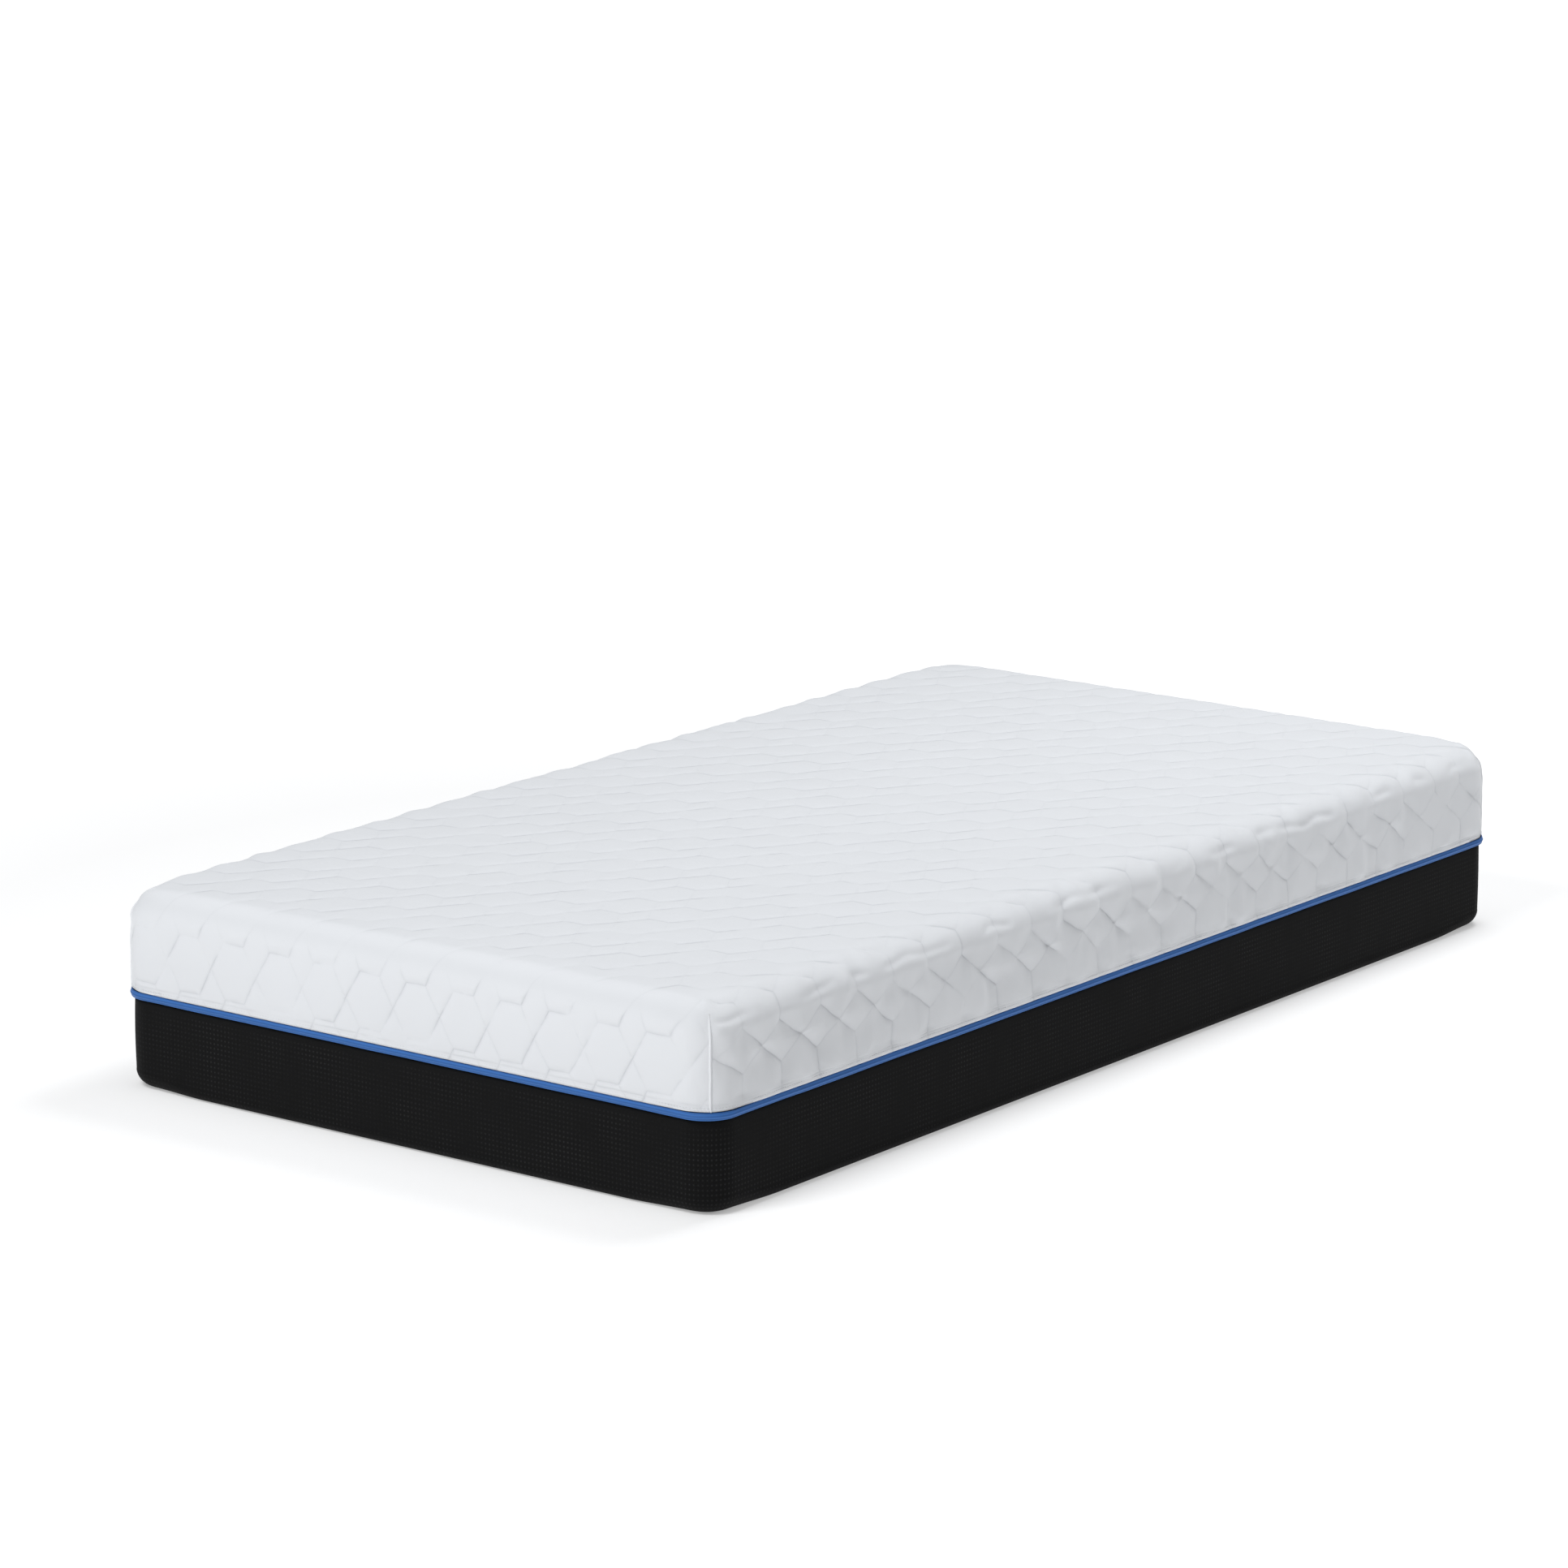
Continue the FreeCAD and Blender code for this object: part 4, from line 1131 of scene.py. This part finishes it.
class MATTRESS_OT_underside(bpy.types.Operator):
    """Non-slip cloth under the mattress, with rows of rubber dots"""

    bl_idname = "mattress.underside"
    bl_label = "Underside"

    def execute(self, context):
        settings, colours = context.scene.mattress_cloth, context.scene.mattress_colours
        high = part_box("bottom_panel")[1]
        outline = Outline(high.x, high.y, 9.5 * MM, 12 * MM, 4)
        inner = high.x - 60 * MM, high.y - 60 * MM
        middle, quads, edge = middle_grid(outline, *inner)
        rim, size, start = outline.rectangle(*inner), outline.size, len(middle)
        plans = [rim * (1 - t) + outline.at(0) * t for t in (0.2, 0.4, 0.6, 0.8, 1.0)]
        plan = np.concatenate([middle] + plans)
        sway = 0.25 * MM * ripple(plan[:, 0], plan[:, 1], 45 * MM, 71)
        under = np.column_stack([plan, 0.75 * MM + sway])
        upper = np.column_stack([plan, np.full(len(plan), high.z)])
        one = np.concatenate([quads, edge_strip(edge, start), ring_quads(len(plans), size)[:, ::-1] + start])
        cloth_faces = two_skins(one, len(plan) - size, size, len(plan))
        dots, dot_faces = self.dots(settings, high)
        cloth = knit_cloth("grip_cloth", colours.grip, 1.8 * MM, 0.1 * MM)
        rubber = Finish("grip_rubber")
        speck = rubber.noise(rubber.place(), 500.0)
        tone = rubber.mix(speck, (0.05, 0.05, 0.052), (0.075, 0.075, 0.078))
        bumps = rubber.bump(speck * (0.04 * MM))
        dot = rubber.close(Base_Color=tone, Roughness=speck * 0.15 + 0.42, Normal=bumps)
        points = np.concatenate([under, upper, dots])
        faces = np.concatenate([cloth_faces, dot_faces + 2 * len(plan)])
        kinds = [0] * len(cloth_faces) + [1] * len(dot_faces)
        made = new_object("underside_cloth", points, faces, [cloth, dot], kinds)
        settle(made, "mattress_base", "grip_cloth", "bottom_panel")
        return {"FINISHED"}

    def dots(self, settings, high):
        """Low round dots whose lowest points are on the floor."""
        pitch, radius, sides = settings.dot_pitch, settings.dot_radius, 10
        count_x, count_y = int((high.x - 14 * MM) / pitch), int((high.y - 14 * MM) / pitch)
        centres = [((i + (j % 2) * 0.5) * pitch, j * pitch)
                   for j in range(-count_y, count_y + 1) for i in range(-count_x, count_x + (j % 2 == 0))]
        # Each (share of the radius, height in mm), from the cloth down to the floor
        rings = [(1.0, 1.2), (0.97, 0.55), (0.72, 0.16), (0.36, 0.02)]
        shape = [(radius * r * math.cos(TURN * k / sides), radius * r * math.sin(TURN * k / sides), z * MM)
                 for r, z in rings for k in range(sides)] + [(0, 0, 0), (0, 0, 1.2 * MM)]
        faces = ring_quads(len(rings), sides)[:, [0, 3, 2, 1]].tolist()
        last, tip, lid = (len(rings) - 1) * sides, len(shape) - 2, len(shape) - 1
        for k in range(0, sides, 2):
            one, two = k + 1, (k + 2) % sides
            faces.append((last + k, tip, last + two, last + one))
            faces.append((k, one, two, lid))
        centres = np.array(centres)
        points = np.array(shape)[None] + np.column_stack([centres, np.zeros(len(centres))])[:, None]
        shift = np.arange(len(centres))[:, None, None] * len(shape)
        return points.reshape(-1, 3), (np.array(faces)[None] + shift).reshape(-1, 4)


# ---------------------------------------------------------------- zip, label and hood


class MATTRESS_OT_zip(bpy.types.Operator):
    """Zip: woven tapes, coils of teeth, and finishes for the slider, pull and stops"""

    bl_idname = "mattress.zip"
    bl_label = "Zip"

    def execute(self, context):
        settings, colours = context.scene.mattress_cloth, context.scene.mattress_colours
        outline = Outline(HALF_X, HALF_Y, CORNER, 5 * MM, 12)
        face = 10.85 * MM
        woven = knit_cloth("zip_tape_cloth", colours.nylon, 0.9 * MM, 0.06 * MM)
        nylon = nylon_finish("zip_coil_nylon", colours.nylon)
        halves = (("upper", "top_cover", 1, (-413 * MM, -391 * MM)),
                  ("lower", "mattress_base", -1, (-425 * MM, -408 * MM)))
        for side, body, away, gap in halves:
            near, far = [corner.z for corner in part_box("zip_tape_" + side)][::away]
            bead = near + away * 3.0 * MM
            profile = [(face + 0.05 * MM, near), (face, near + away * 0.5 * MM), (face, bead),
                       (face + 0.2 * MM, bead + away * MM), (face, far), (face + 0.4 * MM, far),
                       (face + 0.45 * MM, near)]
            made = band(f"zip_tape_{side}_woven", outline, profile[::away], woven)
            settle(made, body, "zip_tape", "zip_tape_" + side)
            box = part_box("zip_coil_" + side)
            coil = self.coil(f"zip_coil_{side}_teeth", outline, box, settings.tooth_pitch, gap, nylon)
            settle(coil, body, "zip_coil", "zip_coil_" + side)
        metal = metal_finish("zip_metal_plated", colours.nickel)
        bevels = {"slider_body": 0.25, "pull_tab": 0.3, "stop_upper": 0.2, "stop_lower": 0.2}
        for node, bevel in bevels.items():
            dress("zip_" + node, metal, bevel * MM)
        return {"FINISHED"}

    def coil(self, name, outline, box, pitch, gap, finish):
        """A helix of nylon along the tape's edge, open where the CAD coil is."""
        low, high = box[0].z, box[1].z
        middle, half = (low + high) / 2, (high - low) / 2 - 0.28 * MM
        inset, reach, radius = 10.1 * MM, 0.42 * MM, 0.27 * MM
        first = head_station(outline, inset, gap[0])
        plan, facing = (np.roll(values, -first, axis=0) for values in (outline.at(inset), outline.normal))
        length_round, place = travel(plan, facing)
        per_turn, sides, margin = 8, 4, 1.5 * MM
        end = length_round - (gap[1] - gap[0]) - margin
        count = int((end - margin) / pitch) * per_turn
        xy, out = place(margin + np.arange(count) * pitch / per_turn)
        phase = TURN * np.arange(count) / per_turn
        spine = np.column_stack([xy + out * (reach * np.sin(phase))[:, None], middle + half * np.cos(phase)])
        run = np.gradient(spine, axis=0)
        run /= np.linalg.norm(run, axis=1, keepdims=True)
        wide = np.cross(run, np.column_stack([out, np.zeros(count)]))
        wide /= np.linalg.norm(wide, axis=1, keepdims=True)
        deep = np.cross(run, wide)
        angles = [TURN * k / sides for k in range(sides)]
        around = [spine + wide * (radius * math.cos(a)) + deep * (radius * math.sin(a)) for a in angles]
        points = np.stack(around, 1).reshape(-1, 3)
        ends = [list(range(sides))[::-1], list(range((count - 1) * sides, count * sides))]
        return new_object(name, points, ring_quads(count, sides), [finish], more=ends)


def sheet_piece(name, low, high, columns, rows, bow, material, thickness):
    """An upright closed sheet facing +Y. bow(s, t) is how far it stands out, with s and t from 0 to 1."""
    s, t = (part.ravel() for part in np.meshgrid(np.linspace(0, 1, columns), np.linspace(0, 1, rows)))
    x, z = low.x + (high.x - low.x) * s, low.z + (high.z - low.z) * t
    back = np.column_stack([x, low.y + bow(s, t), z])
    points = np.concatenate([back, back + (0, thickness, 0)])
    return new_object(name, points, slab_faces(columns, rows), [material])


class MATTRESS_OT_hood_and_label(bpy.types.Operator):
    """Cloth hood over the zip's ends, and the blank label sewn in at the head end"""

    bl_idname = "mattress.hood_and_label"
    bl_label = "Zip hood and label"

    def execute(self, context):
        colours = context.scene.mattress_colours
        low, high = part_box("zip_garage")
        cloth = knit_cloth("hood_cloth", colours.black, 1.1 * MM, sheen=0.015)

        def hood_bow(s, t):
            return 0.9 * MM * (np.sin(math.pi * s) * np.sin(math.pi * t)).clip(0) ** 0.4

        puffed = sheet_piece("zip_hood", low, high, 25, 15, hood_bow, cloth, 0.7 * MM)
        settle(puffed, "top_cover", "garage_cloth", "zip_garage")
        low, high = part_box("law_label")
        satin = knit_cloth("label_satin", (0.78, 0.78, 0.76), 0.5 * MM, 0.03 * MM, 0.1, 0.5, 0.02)

        def label_bow(s, t):
            return (1 - t) ** 2 * (2.2 + 1.4 * np.sin(2.6 * s + 0.4)) * MM + 0.05 * MM

        label = sheet_piece("label_sewn", low, high, 31, 35, label_bow, satin, 0.35 * MM)
        settle(label, "label", "label_cloth", "law_label")
        xs = np.arange(low.x + 2 * MM, high.x - 4 * MM, 4 * MM)
        starts = np.column_stack([xs, np.full(len(xs), low.y + 0.45 * MM), np.full(len(xs), high.z - 3 * MM)])
        outward = np.tile([0.0, 1.0, 0.0], (len(xs), 1))
        sewn = stitches("label_stitches", starts, starts + (2.8 * MM, 0, 0), outward, 0.25 * MM, 0.25 * MM,
                        thread_finish("label_thread", (0.6, 0.6, 0.6)))
        settle(sewn, "label", "label_cloth")
        return {"FINISHED"}


# ---------------------------------------------------------------- inside


class MATTRESS_OT_inner_sock(bpy.types.Operator):
    """Knitted fire sock drawn over the foam, wrinkled at its edges"""

    bl_idname = "mattress.inner_sock"
    bl_label = "Inner sock"

    def execute(self, context):
        settings, colours = context.scene.mattress_cloth, context.scene.mattress_colours
        low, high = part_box("fire_sock")
        round_top, round_low = 27 * MM, 16 * MM
        shares = (0.11, 0.22, 0.33, 0.44, 0.55, 0.66, 0.77, 0.88, 1)
        shell = Shell(Outline(high.x, high.y, 34 * MM, 8 * MM, 6), 0.0, round_top, high.z, shares, 6)
        shell.drop(low.z + round_low, 26)
        for i in range(1, 6):
            a = math.pi / 2 * (1 + i / 5)
            plan = shell.outline.at(round_low * (1 - math.sin(a)))
            shell.rings.append((plan, low.z + round_low * (1 + math.cos(a)), a))
        base, out = shell.places()
        stretch = ripple(base[:, 0] + 0.8 * base[:, 2], base[:, 1] - 0.6 * base[:, 2], 85 * MM, 81)
        crease = ripple(base[:, 0] * 0.45 + base[:, 2], base[:, 1] * 0.45 + base[:, 2] * 1.7, 17 * MM, 82)
        sunk = settings.sock_wrinkle * (0.35 * (0.5 + 0.5 * stretch) + 0.65 * smooth(0.1, 0.9, crease))
        points = base - out * sunk[:, None]
        cap = np.arange(len(points) - shell.outline.size, len(points))[::-1]
        finish = knit_cloth("sock_knit_cloth", colours.sock, 2.4 * MM, 0.25 * MM, 0.2, 0.85, 0.05)
        made = new_object("inner_sock", points, shell.faces(), [finish], cap=cap)
        settle(made, "mattress_base", "sock_knit", "fire_sock")
        return {"FINISHED"}


class MATTRESS_OT_foams(bpy.types.Operator):
    """Finishes for the foam layers and the small sewn pieces inside"""

    bl_idname = "mattress.foams"
    bl_label = "Foams and inner pieces"

    def execute(self, context):
        colours = context.scene.mattress_colours
        foams = (("memory_foam_layer", "memory", 3 * MM), ("transition_foam_layer", "transition", 1 * MM),
                 ("support_foam_base", "support", 3 * MM))
        for node, kind, bevel in foams:
            dress(node, foam_finish(kind + "_foam", getattr(colours, kind)), bevel)
        dress("fire_sock_closing_seam", thread_finish("sock_thread", colours.sock), 0.5 * MM)
        binding = knit_cloth("binding_cloth", colours.black, 1.0 * MM, sheen=0.015)
        dress("bottom_seam_binding", binding, 0.3 * MM)
        dress("piping_filler_cord", thread_finish("filler_fibre", (0.7, 0.7, 0.68)))
        return {"FINISHED"}


# ---------------------------------------------------------------- stage


class MATTRESS_OT_stage(bpy.types.Operator):
    """Pale glowing floor with a painted contact shadow, soft lamps and the camera"""

    bl_idname = "mattress.stage"
    bl_label = "Stage"

    def execute(self, context):
        stage = context.scene.mattress_stage
        self.camera(context.scene, stage)
        self.lamps()
        self.floor(stage)
        world = bpy.data.worlds.new("studio_air")
        world.use_nodes = True
        air = world.node_tree.nodes["Background"]
        air.inputs["Color"].default_value = (0.965, 0.98, 1.0, 1.0)
        air.inputs["Strength"].default_value = stage.sky
        context.scene.world = world
        context.scene.view_settings.view_transform = "Standard"
        return {"FINISHED"}

    def camera(self, scene, stage):
        turn, tilt = stage.turn, stage.tilt
        back = Vector((math.sin(turn) * math.cos(tilt), -math.cos(turn) * math.cos(tilt), math.sin(tilt)))
        right = Vector((math.cos(turn), math.sin(turn), 0))
        up = back.cross(right)
        data = bpy.data.cameras.new("camera")
        data.lens, data.sensor_width = stage.lens, 36
        data.clip_end = 200
        camera = bpy.data.objects.new("camera", data)
        facing = Matrix((right, up, back)).transposed().to_4x4()
        camera.matrix_world = Matrix.Translation(stage.stand) @ facing
        scene.collection.objects.link(camera)
        scene.camera = camera

    def lamps(self):
        """Each lamp: name, place, aim, width, height, watts, colour."""
        rows = [
            ("lamp_foot", (-0.1, -3.3, 3.65), (0, -0.5, 0.15), 1.8, 1.4, 112, (0.98, 0.99, 1.0)),
            ("lamp_above", (0.45, 1.45, 3.3), (0.15, 0.8, 0.2), 1.2, 1.6, 67, (0.98, 0.99, 1.0)),
        ]
        for name, place, aim, width, height, watts, colour in rows:
            data = bpy.data.lights.new(name, "AREA")
            data.shape, data.size, data.size_y = "RECTANGLE", width, height
            data.energy, data.color = watts, colour
            lamp = bpy.data.objects.new(name, data)
            lamp.location = place
            lamp.rotation_euler = (Vector(aim) - Vector(place)).to_track_quat("-Z", "Y").to_euler()
            bpy.context.scene.collection.objects.link(lamp)

    def floor(self, stage):
        """A wide floor that gives off light, though it is no lamp: less near the mattress, and none where the
        mattress stands and just round it, a painted contact shadow.
        """
        count = 25
        axis = np.linspace(-40.0, 40.0, count)
        xs, ys = np.meshgrid(axis, axis)
        contact_x, contact_y = 462 * MM, 886 * MM
        pale = Finish("floor_pale")
        grain = pale.noise(pale.place(), 3.0)
        x, y, _ = pale.split(pale.place())
        away = (((x * x + y * y) ** 0.5 - 1.4) * 0.45).larger(0.0).smaller(1.0)
        over_x, over_y = (abs(x) - contact_x).larger(0.0), (abs(y) - contact_y).larger(0.0)
        # Painted contact shadow: the floor's glow dies out within about 14 mm of the mattress's footprint.
        painted_contact_shadow = ((over_x * over_x + over_y * over_y) ** 0.5).fall(14 * MM)
        tone = pale.mix(grain, (0.60, 0.60, 0.60), (0.61, 0.61, 0.61))
        near_glow = pale.mix(painted_contact_shadow, (stage.floor_glow,) * 3, (0.0, 0.0, 0.0))
        glow = pale.mix(away, near_glow, (1.0, 1.0, 1.0))
        finish = pale.close(Base_Color=tone, Roughness=0.9, Emission_Color=glow, Emission_Strength=1.0,
                            Specular_IOR_Level=0.0)
        points = np.column_stack([xs.ravel(), ys.ravel(), np.zeros(xs.size)])
        made = new_object("floor", points, grid_quads(count, count), [finish])


OPERATORS = (
    MATTRESS_OT_stage,
    MATTRESS_OT_quilted_cover,
    MATTRESS_OT_corner_seams,
    MATTRESS_OT_hem_stitches,
    MATTRESS_OT_cover_lining,
    MATTRESS_OT_piping,
    MATTRESS_OT_border,
    MATTRESS_OT_border_join,
    MATTRESS_OT_underside,
    MATTRESS_OT_zip,
    MATTRESS_OT_hood_and_label,
    MATTRESS_OT_inner_sock,
    MATTRESS_OT_foams,
)


class MATTRESS_PT_pieces(bpy.types.Panel):
    """Makes the mattress's pieces"""

    bl_idname = "MATTRESS_PT_pieces"
    bl_label = "Mattress"
    bl_space_type = "VIEW_3D"
    bl_region_type = "UI"
    bl_category = "Mattress"

    def draw(self, context):
        for group, kind in GROUPS.items():
            box = self.layout.box()
            for setting in kind.__annotations__:
                box.prop(getattr(context.scene, group), setting)
        for operator in OPERATORS:
            self.layout.operator(operator.bl_idname)


def register():
    for kind in (*GROUPS.values(), *OPERATORS, MATTRESS_PT_pieces):
        bpy.utils.register_class(kind)
    for name, kind in GROUPS.items():
        setattr(bpy.types.Scene, name, PointerProperty(type=kind))


def unregister():
    for name in GROUPS:
        delattr(bpy.types.Scene, name)
    for kind in reversed((*GROUPS.values(), *OPERATORS, MATTRESS_PT_pieces)):
        bpy.utils.unregister_class(kind)


def main():
    register()
    for operator in OPERATORS:
        family, name = operator.bl_idname.split(".")
        getattr(getattr(bpy.ops, family), name)()


if __name__ == "__main__":
    main()
